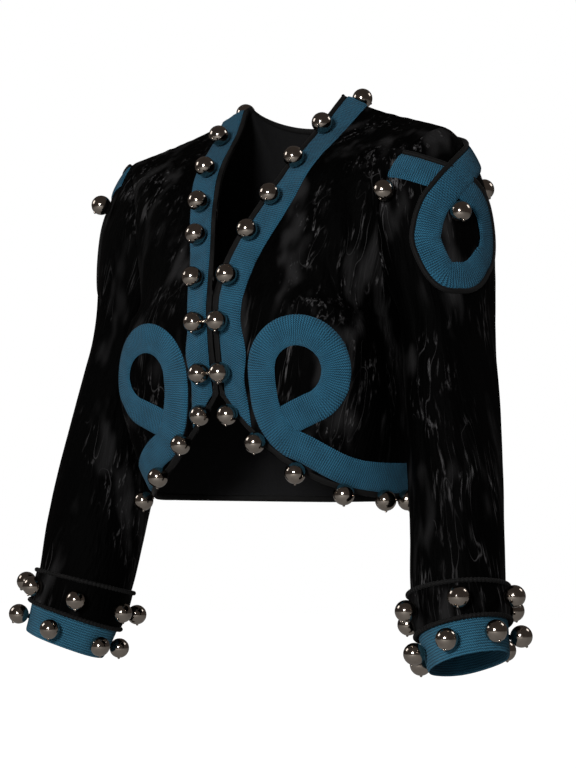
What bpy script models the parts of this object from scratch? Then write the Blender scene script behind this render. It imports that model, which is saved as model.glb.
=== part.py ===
"""A cropped velvet jacket, trimmed with looped knit tape and ball buttons, in its worn shape.

Metres, +Z up. The front faces -Y and the wearer's left is +X. The origin lies at the base of the
neck, between the two shoulder seams, where the wearer's shoulders carry the jacket.
"""

import math

import bmesh
import bpy
import numpy as np
from mathutils import Vector
from mathutils.bvhtree import BVHTree

# Cloth and trims
WALL = 0.002
SEAM_GAP = 0.0003
BINDING_WIDTH = 0.007
BINDING_PROUD = 0.0007
TAPE_WIDTH = 0.028
LOOP_TAPE_WIDTH = 0.030
TAPE_THICKNESS = 0.0016

# The shoulder and neck
NECK_POINT = np.array([0.059, 0.016, 0.013])
SHOULDER_TIP = np.array([0.191, -0.004, -0.0390])
SHOULDER_RISE = 0.007
BACK_NECK = np.array([0.0, 0.070, -0.008])
BACK_NECK_SHARE = 0.34

# The armhole, as wide and deep as its middle, and the underarm point
UNDERARM = np.array([0.150, 0.004, -0.232])
ARMHOLE_X = {"front": 0.147, "back": 0.152}
ARMHOLE_DEPTH = {"front": 0.064, "back": 0.070}

# Rows of the body run from the hem, at height share 0, to the shoulder seam, at 1
UNDERARM_SHARE = 0.46
BODY_SHARES = [0.31, 0.385, 0.46, 0.53, 0.60, 0.67, 0.74, 0.81, 0.88, 0.945, 1.0]
FRONT_COLUMNS = 6
BACK_NECK_COLUMNS = 3
BACK_COLUMNS = 5

# Ball buttons
BALL_RADIUS = 0.0105
NECK_BALL_PITCH = 0.048
SHANK_RADIUS = 0.0025
SHANK_LENGTH = 0.0012
BALL_STEPS = 8
EDGE_BALL_INSET = 0.0155
CLOSURE_BALL_INSET = 0.0118
CLOSURE_HEIGHTS = (-0.232, -0.281)
EDGE_BALL_HEIGHTS = (-0.191, -0.147, -0.111, -0.073, -0.035)
NECK_BALL_INSET = 0.012
HEM_BALL_DISTANCES = {
    "left": (0.0265, 0.065, 0.1125, 0.160, 0.1995, 0.2245),
    "right": (0.0265, 0.065, 0.1175, 0.192),
}
HEM_BALL_INSET = 0.002
FUSED_DEPTH = 0.0018
LINK_RADIUS = 0.0014


def sections(columns, *rows):
    """A table of sections: each named column as an array, with one value for each row."""
    return dict(zip(columns.split(), np.array(rows, float).T))


# The left front's free edge, from its lower corner up to the neck point, and each row's bow
FRONT_EDGE = sections(
    "share x      y       z      lead  tail  full  drop",
    (0.00, 0.0006, -0.1215, -0.303, 6, 92, 1.15, 3.0),
    (0.16, 0.0006, -0.1280, -0.272, 6, 96, 1.65, 2.3),
    (0.31, 0.0006, -0.1330, -0.240, 6, 96, 1.98, 1.7),
    (0.46, 0.0010, -0.1330, -0.205, 7, 88, 1.85, 1.3),
    (0.60, 0.0090, -0.1170, -0.158, 9, 72, 1.40, 1.0),
    (0.74, 0.0270, -0.0870, -0.106, 10, 52, 1.15, 1.0),
    (0.88, 0.0425, -0.0460, -0.054, 6, 26, 1.05, 1.0),
    (0.945, 0.0500, -0.0100, -0.018, 2, 10, 1.00, 1.0),
    (1.00, NECK_POINT[0], NECK_POINT[1], NECK_POINT[2], 0, 0, 1.00, 1.0),
)
# The centre back, and the bow of each back row
BACK_MIDDLE = sections(
    "share y      z      tail  full  drop",
    (0.00, 0.088, -0.409, 92, 1.30, 1.0),
    (0.16, 0.084, -0.366, 92, 1.35, 1.0),
    (0.31, 0.088, -0.310, 92, 1.40, 1.0),
    (0.46, 0.098, -0.242, 86, 1.40, 1.0),
    (0.60, 0.103, -0.180, 68, 1.25, 1.0),
    (0.74, 0.100, -0.118, 46, 1.10, 1.0),
    (0.88, 0.088, -0.060, 22, 1.00, 1.0),
    (1.00, 0.070, -0.008, 6, 1.00, 1.0),
)
# The side seam, from the hem to the underarm point
SIDE_SEAM = sections(
    "share x      z",
    (0.00, 0.147, -0.407),
    (0.16, 0.150, -0.362),
    (0.31, 0.150, -0.305),
    (0.46, UNDERARM[0], UNDERARM[2]),
)
# The left sleeve's tube below the cap: its axis, its half-widths, and the turn of the wider one
SLEEVE_TUBE = sections(
    "drop  x       y       z      wide   narrow turn",
    (0.00, 0.1955, -0.0080, -0.264, 0.0570, 0.0425, 88),
    (0.25, 0.2055, -0.0210, -0.330, 0.0560, 0.0445, 82),
    (0.45, 0.2135, -0.0310, -0.386, 0.0545, 0.0455, 68),
    (0.65, 0.2205, -0.0405, -0.442, 0.0530, 0.0445, 48),
    (0.85, 0.2275, -0.0505, -0.500, 0.0500, 0.0435, 36),
    (0.95, 0.2350, -0.0560, -0.530, 0.0480, 0.0410, 33),
    (1.06, 0.2450, -0.0620, -0.562, 0.0440, 0.0375, 33),
)
SLEEVE_END = 0.85
CAP_RINGS = 7
TUBE_RINGS = 8
# The two cuffs, in drop along the same tube, and how far each stands off the sleeve's own line
CUFFS = {
    "velvet_band": {"top": 0.825, "bottom": 0.950, "proud": WALL + 0.0004},
    "knit_cuff": {"top": 0.930, "bottom": 1.055, "proud": 0.0},
}
CUFF_RINGS = 4
# Balls round each cuff: how many, and where the first one is, in degrees round from the outside
CUFF_BALLS = {
    ("left", "velvet_band"): (6, 3),
    ("left", "knit_cuff"): (7, 30),
    ("right", "velvet_band"): (7, 20),
    ("right", "knit_cuff"): (6, 45),
}

# The loop of tape on each front, by its middle line
LOOP_CENTRE_X = 0.0905
LOOP_CENTRE_Z = -0.2825
LOOP_RADIUS = 0.0385
LOOP_TURNS_THROUGH = range(180, -76, -15)
LOOP_RISE = sections(
    "x z",
    (0.0890, -0.3585),
    (0.0710, -0.3480),
    (0.0590, -0.3310),
    (0.0535, -0.3120),
    (0.0520, -0.2960),
)
LOOP_FINISH = sections(
    "x z",
    (0.0830, -0.3270),
    (0.0670, -0.3340),
)
# The loop of tape on each sleeve cap, by its middle line, in degrees round the sleeve and height
SHOULDER_LOOP = sections(
    "around z",
    (62, -0.076),
    (52, -0.081),
    (38, -0.090),
    (22, -0.100),
    (6, -0.112),
    (-4, -0.130),
    (-7, -0.153),
    (6, -0.178),
    (30, -0.192),
    (50, -0.183),
    (55, -0.161),
    (45, -0.133),
    (28, -0.108),
    (8, -0.086),
    (-12, -0.071),
    (-28, -0.061),
    (-40, -0.054),
)
# How far each side's loop sits round from there, in degrees, and up: the right one is further back
SHOULDER_LOOP_SHIFT = {"left": (4, 0.0), "right": (-32, 0.018)}
SHOULDER_TAPE_WIDTH = 0.027
RIBBON_DEPTH = 0.006
# Balls on each sleeve cap, in degrees round it and height, on the left and on the right
SHOULDER_BALLS = sections(
    "left_around left_z right_around right_z",
    (70, -0.1095, 38, -0.0930),
    (30, -0.132, -11, -0.122),
    (-45, -0.096, -60, -0.108),
)

COLOURS = {
    "velvet": ((0.006, 0.006, 0.007), 0.75, 0.0),
    "binding": ((0.004, 0.004, 0.005), 0.9, 0.0),
    "knit_tape": ((0.022, 0.088, 0.155), 0.9, 0.0),
    "chrome": ((0.62, 0.60, 0.58), 0.12, 1.0),
}

# Curves and arrows


def smooth(table, column, at, key="share"):
    """A column's value at any place, on a smooth curve through the table's rows."""
    knots, values = table[key], table[column]
    slopes = np.gradient(values, knots)
    at = np.clip(at, knots[0], knots[-1])
    i = np.clip(np.searchsorted(knots, at, side="right") - 1, 0, len(knots) - 2)
    span = knots[i + 1] - knots[i]
    f = (at - knots[i]) / span
    return curved(values[i], slopes[i] * span, values[i + 1], slopes[i + 1] * span, f)


def curved(start, leave, end, arrive, f):
    """A point on the curve from start to end that leaves and arrives along two given arrows."""
    return (
        start * (2 * f**3 - 3 * f**2 + 1)
        + leave * (f**3 - 2 * f**2 + f)
        + end * (3 * f**2 - 2 * f**3)
        + arrive * (f**3 - f**2)
    )


def walked_along(points):
    """The distance along a line of points, at each of them."""
    steps = np.linalg.norm(np.diff(points, axis=0), axis=1)
    return np.concatenate([[0], np.cumsum(steps)])


def even_line(points, count):
    """Evenly spaced places on a smooth line through a few points."""
    points = np.array(points, float)
    walked = walked_along(points)
    table = {"share": walked} | {str(k): points[:, k] for k in range(points.shape[1])}
    places = np.linspace(0, walked[-1], count)
    return np.array([[smooth(table, str(k), p) for k in range(points.shape[1])] for p in places])


def unit(arrows):
    return arrows / np.linalg.norm(arrows, axis=-1, keepdims=True)


# Surfaces of the left half, each as a function of two shares


def armhole(angle, face):
    """The armhole seam: angle 0 is the shoulder tip and 180 degrees the underarm point."""
    up = (1 + math.cos(angle)) / 2
    side = -1 if face == "front" else 1
    x = ARMHOLE_X[face] + (SHOULDER_TIP[0] - ARMHOLE_X[face]) * up**5
    x += (UNDERARM[0] - ARMHOLE_X[face]) * (1 - up) ** 6
    middle = UNDERARM[1] + (SHOULDER_TIP[1] - UNDERARM[1]) * up
    y = middle + side * ARMHOLE_DEPTH[face] * math.sin(angle)
    return np.array([x, y, UNDERARM[2] + (SHOULDER_TIP[2] - UNDERARM[2]) * up])


def outer_edge(share, face):
    """Where a body row ends: on the side seam, or above it on the armhole."""
    if share <= UNDERARM_SHARE:
        return np.array([smooth(SIDE_SEAM, "x", share), UNDERARM[1], smooth(SIDE_SEAM, "z", share)])
    return armhole(armhole_angle(share), face)


def armhole_angle(share):
    return math.pi * (1 - (share - UNDERARM_SHARE) / (1 - UNDERARM_SHARE))


def shoulder_seam(f):
    """The shoulder seam, from the neck point, 0, to the shoulder tip, 1, hollowed by the neck."""
    point = NECK_POINT + (SHOULDER_TIP - NECK_POINT) * f
    return point - np.array([0, 0, SHOULDER_RISE * 4 * f * (1 - f) * (1 - f)])


def bowed_row(start, end, row, f):
    """A row that leaves and arrives at given angles in plan, and drops towards its end."""
    lead, tail = math.radians(row["lead"]), math.radians(row["tail"])
    chord = row["full"] * math.hypot(*(end - start)[:2])
    leave = chord * np.array([math.cos(lead), math.sin(lead), 0])
    arrive = chord * np.array([math.cos(tail), math.sin(tail), 0])
    point = curved(start, leave, end, arrive, f)
    point[2] = start[2] + (end[2] - start[2]) * (1 - max(1 - f, 0.0) ** row["drop"])
    return point


def towards_top(level, top, start, end, across, share):
    """A row's point, drawn over to the shape of the panel's top edge as the row nears it."""
    f = np.clip((share - 0.80) / 0.20, 0, 1)
    blend = f * f * (3 - 2 * f)
    beside_top = top(across) + (start - top(0)) * (1 - across) + (end - top(1)) * across
    return level * (1 - blend) + beside_top * blend


def front_point(across, share):
    """The left front's outer surface, from its free edge, 0, to the side seam or armhole, 1."""
    row = {name: float(smooth(FRONT_EDGE, name, share)) for name in FRONT_EDGE}
    start = np.array([max(row["x"], FRONT_EDGE["x"][0]), row["y"], row["z"]])
    end = outer_edge(share, "front")
    level = bowed_row(start, end, row, across)
    return towards_top(level, shoulder_seam, start, end, across, share)


def back_top(across):
    """The back's top edge: half the neck curve, and then the shoulder seam."""
    if across >= BACK_NECK_SHARE:
        return shoulder_seam((across - BACK_NECK_SHARE) / (1 - BACK_NECK_SHARE))
    angle = math.pi / 2 * across / BACK_NECK_SHARE
    round_neck = NECK_POINT * np.array([math.sin(angle), 1, 1])
    return round_neck + (BACK_NECK - NECK_POINT * np.array([0, 1, 1])) * math.cos(angle)


def back_point(across, share):
    """The back's outer surface, from the centre back, 0, to the left side seam or armhole, 1."""
    row = {name: float(smooth(BACK_MIDDLE, name, share)) for name in BACK_MIDDLE}
    row["lead"], row["tail"] = 0.0, -row["tail"]
    start = np.array([0.0, row["y"], row["z"]])
    end = outer_edge(share, "back")
    level = bowed_row(start, end, row, across)
    return towards_top(level, back_top, start, end, across, share)


def tube_point(angle, drop, proud=0.0):
    """The left sleeve's tube: angle 0 is its outer side and 90 degrees its front."""
    row = {name: float(smooth(SLEEVE_TUBE, name, drop, "drop")) for name in SLEEVE_TUBE}
    centre = np.array([row["x"], row["y"], row["z"]])
    below = min(drop + 0.05, SLEEVE_TUBE["drop"][-1])
    above = max(below - 0.10, 0.0)
    ends = [np.array([smooth(SLEEVE_TUBE, n, d, "drop") for n in "xyz"]) for d in (above, below)]
    axis = unit(ends[1] - ends[0])
    outside = unit(np.cross([0, 1, 0], axis))
    outside = outside if outside[0] > 0 else -outside
    forward = np.cross(axis, outside)
    forward = forward if forward[1] < 0 else -forward
    turn = math.radians(row["turn"])
    wide_way = outside * math.cos(turn) + forward * math.sin(turn)
    narrow_way = -outside * math.sin(turn) + forward * math.cos(turn)
    wide = (row["wide"] + proud) * math.cos(angle - turn)
    narrow = (row["narrow"] + proud) * math.sin(angle - turn)
    return centre + wide_way * wide + narrow_way * narrow


def sleeve_point(angle, down):
    """The left sleeve's outer surface: down is 0 at the armhole, 1 at the tube and 2 at its end."""
    if down >= 1:
        return tube_point(angle, (down - 1) * SLEEVE_END)
    start = armhole(abs(angle), "front" if angle >= 0 else "back")
    end = tube_point(angle, 0.0)
    length = np.linalg.norm(end - start)
    up = (1 + math.cos(angle)) / 2
    leave = unit(np.array([0.72 + 0.16 * up, -0.30 * math.sin(angle), -0.75]))
    arrive = unit(tube_point(angle, 0.05) - end)
    return curved(start, leave * length * 1.05, end, arrive * length * 1.05, down)


# Grids of points, whose first rows and columns follow the binding and the tape


STEPS_IN = [
    0.0,
    BINDING_WIDTH,
    BINDING_WIDTH + SEAM_GAP,
    BINDING_WIDTH + TAPE_WIDTH / 2,
    BINDING_WIDTH + TAPE_WIDTH,
]
NOMINAL_SHARES = [0.0, 0.02, 0.021, 0.08, 0.15] + BODY_SHARES


def distance_from(point, line):
    """The shortest distance from a point to a line of points."""
    a, b = line[:-1], line[1:]
    along = np.clip(((point - a) * (b - a)).sum(1) / ((b - a) ** 2).sum(1), 0, 1)
    return np.linalg.norm(a + (b - a) * along[:, None] - point, axis=1).min()


def share_at(surface_at, line, distance, limit=1.0):
    """The share, between 0 and a limit, at which a surface has come a distance in from a line."""
    low, high = 0.0, limit
    for _ in range(22):
        middle = (low + high) / 2
        if distance_from(surface_at(middle), line) < distance:
            low = middle
        else:
            high = middle
    return (low + high) / 2


free_edge = np.array([front_point(0, s) for s in np.linspace(0, 1, 61)])
FREE_EDGE = np.vstack([free_edge[0] - [0, 0, 0.2], free_edge])
FRONT_HEM = np.array([front_point(f, 0) for f in np.linspace(0, 1, 61)])
BACK_HEM = np.array([back_point(f, 0) for f in np.linspace(0, 1, 61)])
BACK_NECK_LINE = np.array([back_top(f) for f in np.linspace(0, BACK_NECK_SHARE, 31)])


def front_place(from_edge, from_hem):
    """The shares across and up at given distances in from the free edge and from the hem."""
    share = 0.1
    for _ in range(6):
        across = share_at(lambda f: front_point(f, share), FREE_EDGE, from_edge)
        share = share_at(lambda s: front_point(across, s), FRONT_HEM, from_hem, 0.5)
    return across, share


def front_grid():
    """Points of the left front."""
    rows = []
    for j, nominal in enumerate(NOMINAL_SHARES):
        inner = share_at(lambda f: front_point(f, nominal), FREE_EDGE, STEPS_IN[-1])
        row = []
        for distance in STEPS_IN:
            if j == 0 or j >= len(STEPS_IN):
                across = share_at(lambda f: front_point(f, nominal), FREE_EDGE, distance)
                row.append(front_point(across, nominal))
            else:
                row.append(front_point(*front_place(distance, STEPS_IN[j])))
        for across in np.linspace(inner, 1, FRONT_COLUMNS + 1)[1:]:
            share = nominal
            if 0 < j < len(STEPS_IN):
                share = share_at(lambda s: front_point(across, s), FRONT_HEM, STEPS_IN[j], 0.5)
            row.append(front_point(across, share))
        rows.append(row)
    return np.swapaxes(np.array(rows), 0, 1)


def back_grid():
    """Points of the back, from the right side to the left."""
    across_shares = list(np.linspace(0, BACK_NECK_SHARE, BACK_NECK_COLUMNS + 1))
    across_shares += list(np.linspace(BACK_NECK_SHARE, 1, BACK_COLUMNS + 1)[1:])
    half = np.zeros((len(across_shares), len(NOMINAL_SHARES), 3))
    for i, across in enumerate(across_shares):
        for j, share in enumerate(NOMINAL_SHARES):
            if 0 < j < len(STEPS_IN):
                share = share_at(lambda s: back_point(across, s), BACK_HEM, STEPS_IN[j], 0.5)
            half[i, j] = back_point(across, share)
    half[-1, :len(STEPS_IN)] = FRONT[-1, :len(STEPS_IN)]
    for i, across in enumerate(across_shares[:-1]):
        neck = min(across, BACK_NECK_SHARE)
        drop = share_at(lambda s: back_point(neck, 1 - s), BACK_NECK_LINE, BINDING_WIDTH, 0.3)
        past = (across - neck) / (1 - BACK_NECK_SHARE)
        drop += (1 - NOMINAL_SHARES[-2] - drop) * past
        half[i, -2] = back_point(across, 1 - drop)
    return np.vstack([half[1:][::-1] * MIRROR, half])


def sleeve_grid():
    """Points of the left sleeve, whose first ring is the armhole's own rows of points."""
    angles = [armhole_angle(s) for s in BODY_SHARES if s >= UNDERARM_SHARE]
    ring = angles + [-a for a in angles[::-1][1:-1]]
    downs = list(np.linspace(0, 1, CAP_RINGS)) + list(np.linspace(1, 2, TUBE_RINGS)[1:])
    return np.array([[sleeve_point(a, d) for d in downs] for a in ring])


def outward(grid):
    """The unit arrow square to a grid of surface points."""
    return unit(np.cross(np.gradient(grid, axis=0), np.gradient(grid, axis=1)))


# Meshes


def closed_body(name, points, faces, colour, collection=None):
    """An object from points and faces, with every face turned outwards."""
    mesh = bpy.data.meshes.new(name)
    mesh.from_pydata([tuple(p) for p in points], [], faces)
    body = bmesh.new()
    body.from_mesh(mesh)
    loose = [v for v in body.verts if not v.link_faces]
    bmesh.ops.delete(body, geom=loose, context="VERTS")
    bmesh.ops.recalc_face_normals(body, faces=body.faces)
    body.to_mesh(mesh)
    body.free()
    mesh.shade_smooth()
    mesh.set_sharp_from_angle(angle=math.radians(40))
    mesh.materials.append(MATERIALS[colour])
    part = bpy.data.objects.new(name, mesh)
    (collection or JACKET).objects.link(part)
    return part


def shorter_diagonal(one, two, three, four):
    """0 where a quad is better split from its first corner to its third, or else 1."""
    return int(np.linalg.norm(three - one) > np.linalg.norm(four - two) + 1e-6)


def edge_faces(upper, lower):
    """Two triangles between the outer and inner corners at the two ends of a wall's edge."""
    return [[upper[0], lower[0], lower[1]], [upper[0], lower[1], upper[1]]]


def wall(name, grid, square, colour, low=-WALL, high=0.0, ring=False, left_out=()):
    """A closed wall over a grid of surface points, between two distances out from it."""
    rows, columns = grid.shape[:2]
    points = np.vstack([(grid + square * d).reshape(-1, 3) for d in (high, low)])

    def at(i, j, layer):
        return (i % rows) * columns + j + layer * rows * columns

    def there(i, j):
        if ring:
            i %= rows
        last = rows if ring else rows - 1
        return 0 <= i < last and 0 <= j < columns - 1 and (i, j) not in left_out

    faces = []
    for i in range(rows if ring else rows - 1):
        for j in range(columns - 1):
            if not there(i, j):
                continue
            corners = [(i, j), (i + 1, j), (i + 1, j + 1), (i, j + 1)]
            for layer in (0, 1):
                turn = shorter_diagonal(*(grid[a % rows, b] for a, b in corners))
                one, two, three, four = [at(a, b, layer) for a, b in corners[turn:] + corners[:turn]]
                faces += [[one, two, three], [one, three, four]]
            beside = [(i, j - 1), (i + 1, j), (i, j + 1), (i - 1, j)]
            for k, neighbour in enumerate(beside):
                if not there(*neighbour):
                    ends = [corners[k], corners[(k + 1) % 4]]
                    ends.sort(key=lambda end: -grid[end[0] % rows, end[1]][2])
                    faces += edge_faces(*[(at(*end, 0), at(*end, 1)) for end in ends])
    return closed_body(name, points, faces, colour)


def pulled_in(grid, *sides, gap=SEAM_GAP / 2):
    """The grid with named sides drawn back by half a seam gap, so that two pieces part."""
    grid = grid.copy()
    for way, end in sides:
        lines = grid if way == "across" else np.swapaxes(grid, 0, 1)
        edge, inner = (0, 1) if end == "start" else (-1, -2)
        lines[edge] += unit(lines[inner] - lines[edge]) * gap
    return grid


def both_sides(name, grid, square, colour, **how):
    """The wearer's left piece and its mirror image on the right."""
    left = wall(f"{name}_left", grid, square, colour, **how)
    right = wall(f"{name}_right", grid * MIRROR, square * MIRROR, colour, **how)
    return {"left": left, "right": right}


# Tape cut out of a layer that lies on a panel


def ribbon(name, surface, path, width, mirror=False):
    """A thick ribbon along a path on a surface, which cuts the tape out of its layer."""
    step = 0.004
    centre = np.array([surface(a, b) for a, b in path])
    way_a = np.array([surface(a + step, b) - surface(a - step, b) for a, b in path])
    way_b = np.array([surface(a, b + step) - surface(a, b - step) for a, b in path])
    square = unit(np.cross(way_a, way_b))
    beside = unit(np.cross(np.gradient(centre, axis=0), square)) * width / 2
    past_start = unit(centre[0] - centre[1]) * RIBBON_DEPTH
    past_end = unit(centre[-1] - centre[-2]) * RIBBON_DEPTH
    centre = np.vstack([centre[0] + past_start, centre, centre[-1] + past_end])
    square = np.vstack([square[:1], square, square[-1:]])
    beside = np.vstack([beside[:1], beside, beside[-1:]])
    lines = [centre + b + s for b, s in (
        (beside, square * RIBBON_DEPTH),
        (-beside, square * RIBBON_DEPTH),
        (-beside, -square * RIBBON_DEPTH),
        (beside, -square * RIBBON_DEPTH),
    )]
    count = len(centre)
    points = np.vstack(lines) * (MIRROR if mirror else 1)
    faces = [[count * k for k in range(4)], [count * k + count - 1 for k in range(4)]]
    for k in range(4):
        here, there = k * count, (k + 1) % 4 * count
        faces += [[here + n, here + n + 1, there + n + 1, there + n] for n in range(count - 1)]
    cutter = closed_body(name, points, faces, "knit_tape", CUTTERS)
    cutter.hide_render = True
    cutter.display_type = "WIRE"
    return cutter


def cut_to(part, cutter):
    """Keeps only what the cutter covers of a part."""
    cut = part.modifiers.new("cut_to_tape", "BOOLEAN")
    cut.operation = "INTERSECT"
    cut.object = cutter
    cut.use_self = True


def place_on_front(x, z):
    """The shares across and up of the front's point that has a given x and z."""
    across, share = x / 0.2, 0.2
    for _ in range(12):
        here = front_point(across, share)
        by_across = (front_point(across + 0.01, share) - here) / 0.01
        by_share = (front_point(across, share + 0.01) - here) / 0.01
        turn = np.array([[by_across[0], by_share[0]], [by_across[2], by_share[2]]])
        step = np.linalg.solve(turn, np.array([x, z]) - here[[0, 2]])
        across, share = np.array([across, share]) + np.clip(step, -0.1, 0.1)
    return across, share


def front_loop_path():
    """The tape's middle line: along the hem from the side, up the front, and round its loop."""
    middle = BINDING_WIDTH + SEAM_GAP + TAPE_WIDTH / 2
    places = []
    for across in (1.0, 0.93, 0.86, 0.78, 0.70, 0.62):
        share = share_at(lambda s: front_point(across, s), FRONT_HEM, middle, 0.5)
        places.append((across, share))
    points = list(zip(LOOP_RISE["x"], LOOP_RISE["z"]))
    for degrees in LOOP_TURNS_THROUGH:
        turn = math.radians(degrees)
        x = LOOP_CENTRE_X + LOOP_RADIUS * math.cos(turn)
        points.append((x, LOOP_CENTRE_Z + LOOP_RADIUS * math.sin(turn)))
    points += list(zip(LOOP_FINISH["x"], LOOP_FINISH["z"]))
    places += [place_on_front(x, z) for x, z in points]
    return even_line(places, 48)


def place_on_cap(degrees, z):
    """The angle and the share down of the sleeve cap's point at a given height."""
    angle = math.radians(degrees)
    low, high = -0.15, 1.0
    for _ in range(20):
        middle = (low + high) / 2
        if sleeve_point(angle, middle)[2] > z:
            low = middle
        else:
            high = middle
    return angle, (low + high) / 2


def shoulder_loop_path(side):
    """The tape's middle line on the sleeve cap, from the front armhole round to the back one."""
    turn, rise = SHOULDER_LOOP_SHIFT[side]
    route = zip(SHOULDER_LOOP["around"], SHOULDER_LOOP["z"])
    return even_line([place_on_cap(a + turn, z + rise) for a, z in route], 44)


def whole_back(across, share):
    """The back's outer surface on both halves, with the right half at shares across below 0."""
    return back_point(abs(across), share) * np.array([1 if across >= 0 else -1, 1, 1])


def back_neck_path(inset):
    """A line at one distance from the back neck, from one shoulder seam to the other."""
    end = share_at(lambda f: back_point(BACK_NECK_SHARE + f, 1.0), BACK_NECK_LINE, inset, 0.4)
    places = []
    for across in np.linspace(0, BACK_NECK_SHARE + end, 13):
        drop = share_at(lambda s: back_point(across, 1 - s), BACK_NECK_LINE, inset, 0.3)
        places.append((across, 1 - drop))
    return [(-a, s) for a, s in places[:0:-1]] + places


# Ball buttons


def ball_mesh():
    """A ball on a short shank, turned about +Z with its foot at the origin."""
    middle = SHANK_LENGTH + math.sqrt(BALL_RADIUS**2 - SHANK_RADIUS**2)
    profile = [(0.0, middle + BALL_RADIUS)]
    for degrees in (38, 80, 122):
        turn = math.radians(degrees)
        profile.append((BALL_RADIUS * math.sin(turn), middle + BALL_RADIUS * math.cos(turn)))
    profile += [(SHANK_RADIUS, SHANK_LENGTH), (SHANK_RADIUS, 0.0), (0.0, 0.0)]
    mesh = bpy.data.meshes.new("ball_button")
    edges = [(n, n + 1) for n in range(len(profile) - 1)]
    mesh.from_pydata([(x, 0, z) for x, z in profile], edges, [])
    mesh.materials.append(MATERIALS["chrome"])
    return mesh


def set_ball(name, foot, square, collection=None, sunk=-SEAM_GAP):
    """A ball button with its foot at a place and its shank square to the cloth there."""
    ball = bpy.data.objects.new(name, BALL)
    turned = ball.modifiers.new("turned", "SCREW")
    turned.axis = "Z"
    turned.steps = BALL_STEPS
    turned.render_steps = BALL_STEPS
    turned.use_merge_vertices = True
    turned.merge_threshold = 0.00005
    turned.use_smooth_shade = True
    ball.rotation_mode = "QUATERNION"
    ball.rotation_quaternion = Vector(square).to_track_quat("Z", "Y")
    ball.location = Vector(foot) - Vector(square) * sunk
    (collection or JACKET).objects.link(ball)
    return ball


def fuse(part, balls):
    """Joins balls to the part that carries them."""
    for ball in balls:
        ball.hide_render = True
        ball.display_type = "WIRE"
        joined = part.modifiers.new("ball", "BOOLEAN")
        joined.operation = "UNION"
        joined.object = ball


def seat(trees, surface, a, b, turn=1):
    """Where a ball's foot rests on the outermost of some parts, over a surface's place."""
    step = 0.004
    way_a = surface(a + step, b) - surface(a - step, b)
    way_b = surface(a, b + step) - surface(a, b - step)
    square = unit(np.cross(way_a, way_b))
    middle = surface(a, b)
    if np.dot(square, middle - INSIDE_OF[surface.__name__](middle)) < 0:
        square = -square
    above = Vector((middle + square * 0.02) * turn)
    hits = [tree.ray_cast(above, Vector(-square * turn)) for tree in trees]
    place, normal, _, _ = min((hit for hit in hits if hit[0]), key=lambda hit: hit[3])
    return np.array(place), np.array(normal)


def surface_tree(part):
    """A search tree of a part's faces, for seating a ball button on it."""
    bpy.context.view_layer.update()
    return BVHTree.FromObject(part, bpy.context.evaluated_depsgraph_get())


def make_materials():
    made = {}
    for name, (colour, roughness, metallic) in COLOURS.items():
        made[name] = bpy.data.materials.new(name)
        made[name].use_nodes = True
        shader = made[name].node_tree.nodes["Principled BSDF"]
        shader.inputs["Base Color"].default_value = (*colour, 1)
        shader.inputs["Roughness"].default_value = roughness
        shader.inputs["Metallic"].default_value = metallic
    return made


for old in list(bpy.data.objects):
    bpy.data.objects.remove(old)
JACKET = bpy.data.collections.new("cropped_jacket")
CUTTERS = bpy.data.collections.new("cutters")
for made_collection in (JACKET, CUTTERS):
    bpy.context.scene.collection.children.link(made_collection)
MATERIALS = make_materials()
BALL = ball_mesh()
MIRROR = np.array([-1, 1, 1])

# Points of each panel, and its outward arrows, shared where two panels meet
FRONT = front_grid()
BACK = back_grid()
SLEEVE = sleeve_grid()
front_out = outward(FRONT)
back_out = -outward(BACK)
sleeve_out = -outward(np.vstack([SLEEVE[-1:], SLEEVE, SLEEVE[:1]]))[1:-1]
first_arm_row = NOMINAL_SHARES.index(UNDERARM_SHARE)
middle_back = len(BACK) // 2

seam_out = unit(np.cross(NECK_POINT - SHOULDER_TIP, [0, -1, 0]))
front_out[:, -1] = seam_out
back_out[middle_back + BACK_NECK_COLUMNS:, -1] = seam_out
shared = unit(front_out[-1, :first_arm_row] + back_out[-1, :first_arm_row])
front_out[-1, :first_arm_row] = shared
back_out[-1, :first_arm_row] = shared
for k, row in enumerate(range(first_arm_row, len(NOMINAL_SHARES))):
    at_end = row in (first_arm_row, len(NOMINAL_SHARES) - 1)
    shared = front_out[-1, row] + sleeve_out[k, 0] + (back_out[-1, row] if at_end else 0)
    front_out[-1, row] = sleeve_out[k, 0] = unit(shared)
    if not at_end:
        shared = back_out[-1, row] + sleeve_out[-k, 0]
        sleeve_out[-k, 0] = unit(shared)
    back_out[-1, row] = unit(shared)
back_out[:middle_back] = back_out[middle_back + 1:][::-1] * MIRROR

BODY_MIDDLE = np.array([0.0, -0.01, -0.25])
INSIDE_OF = {
    "front_point": lambda p: BODY_MIDDLE,
    "whole_back": lambda p: BODY_MIDDLE,
    "sleeve_point": lambda p: np.array([0.165, 0.0, p[2] - 0.05]),
    "tube_point": lambda p: np.array([0.229, -0.06, p[2]]),
}

# Fronts, back and sleeves
seams = [("across", "end"), ("up", "end")]
panel, panel_out = pulled_in(FRONT, *seams)[2:, 2:], front_out[2:, 2:]
back_panel = pulled_in(BACK, ("across", "start"), *seams)
tube = pulled_in(SLEEVE, ("up", "start"))
neck = range(middle_back - BACK_NECK_COLUMNS, middle_back + BACK_NECK_COLUMNS)
neck_row = len(NOMINAL_SHARES) - 2
both_sides("front", panel, panel_out, "velvet")
back = wall("back", back_panel[:, 2:], back_out[:, 2:], "velvet",
            left_out={(i, neck_row - 2) for i in neck})
sleeves = both_sides("sleeve", tube, sleeve_out, "velvet", ring=True)

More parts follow.
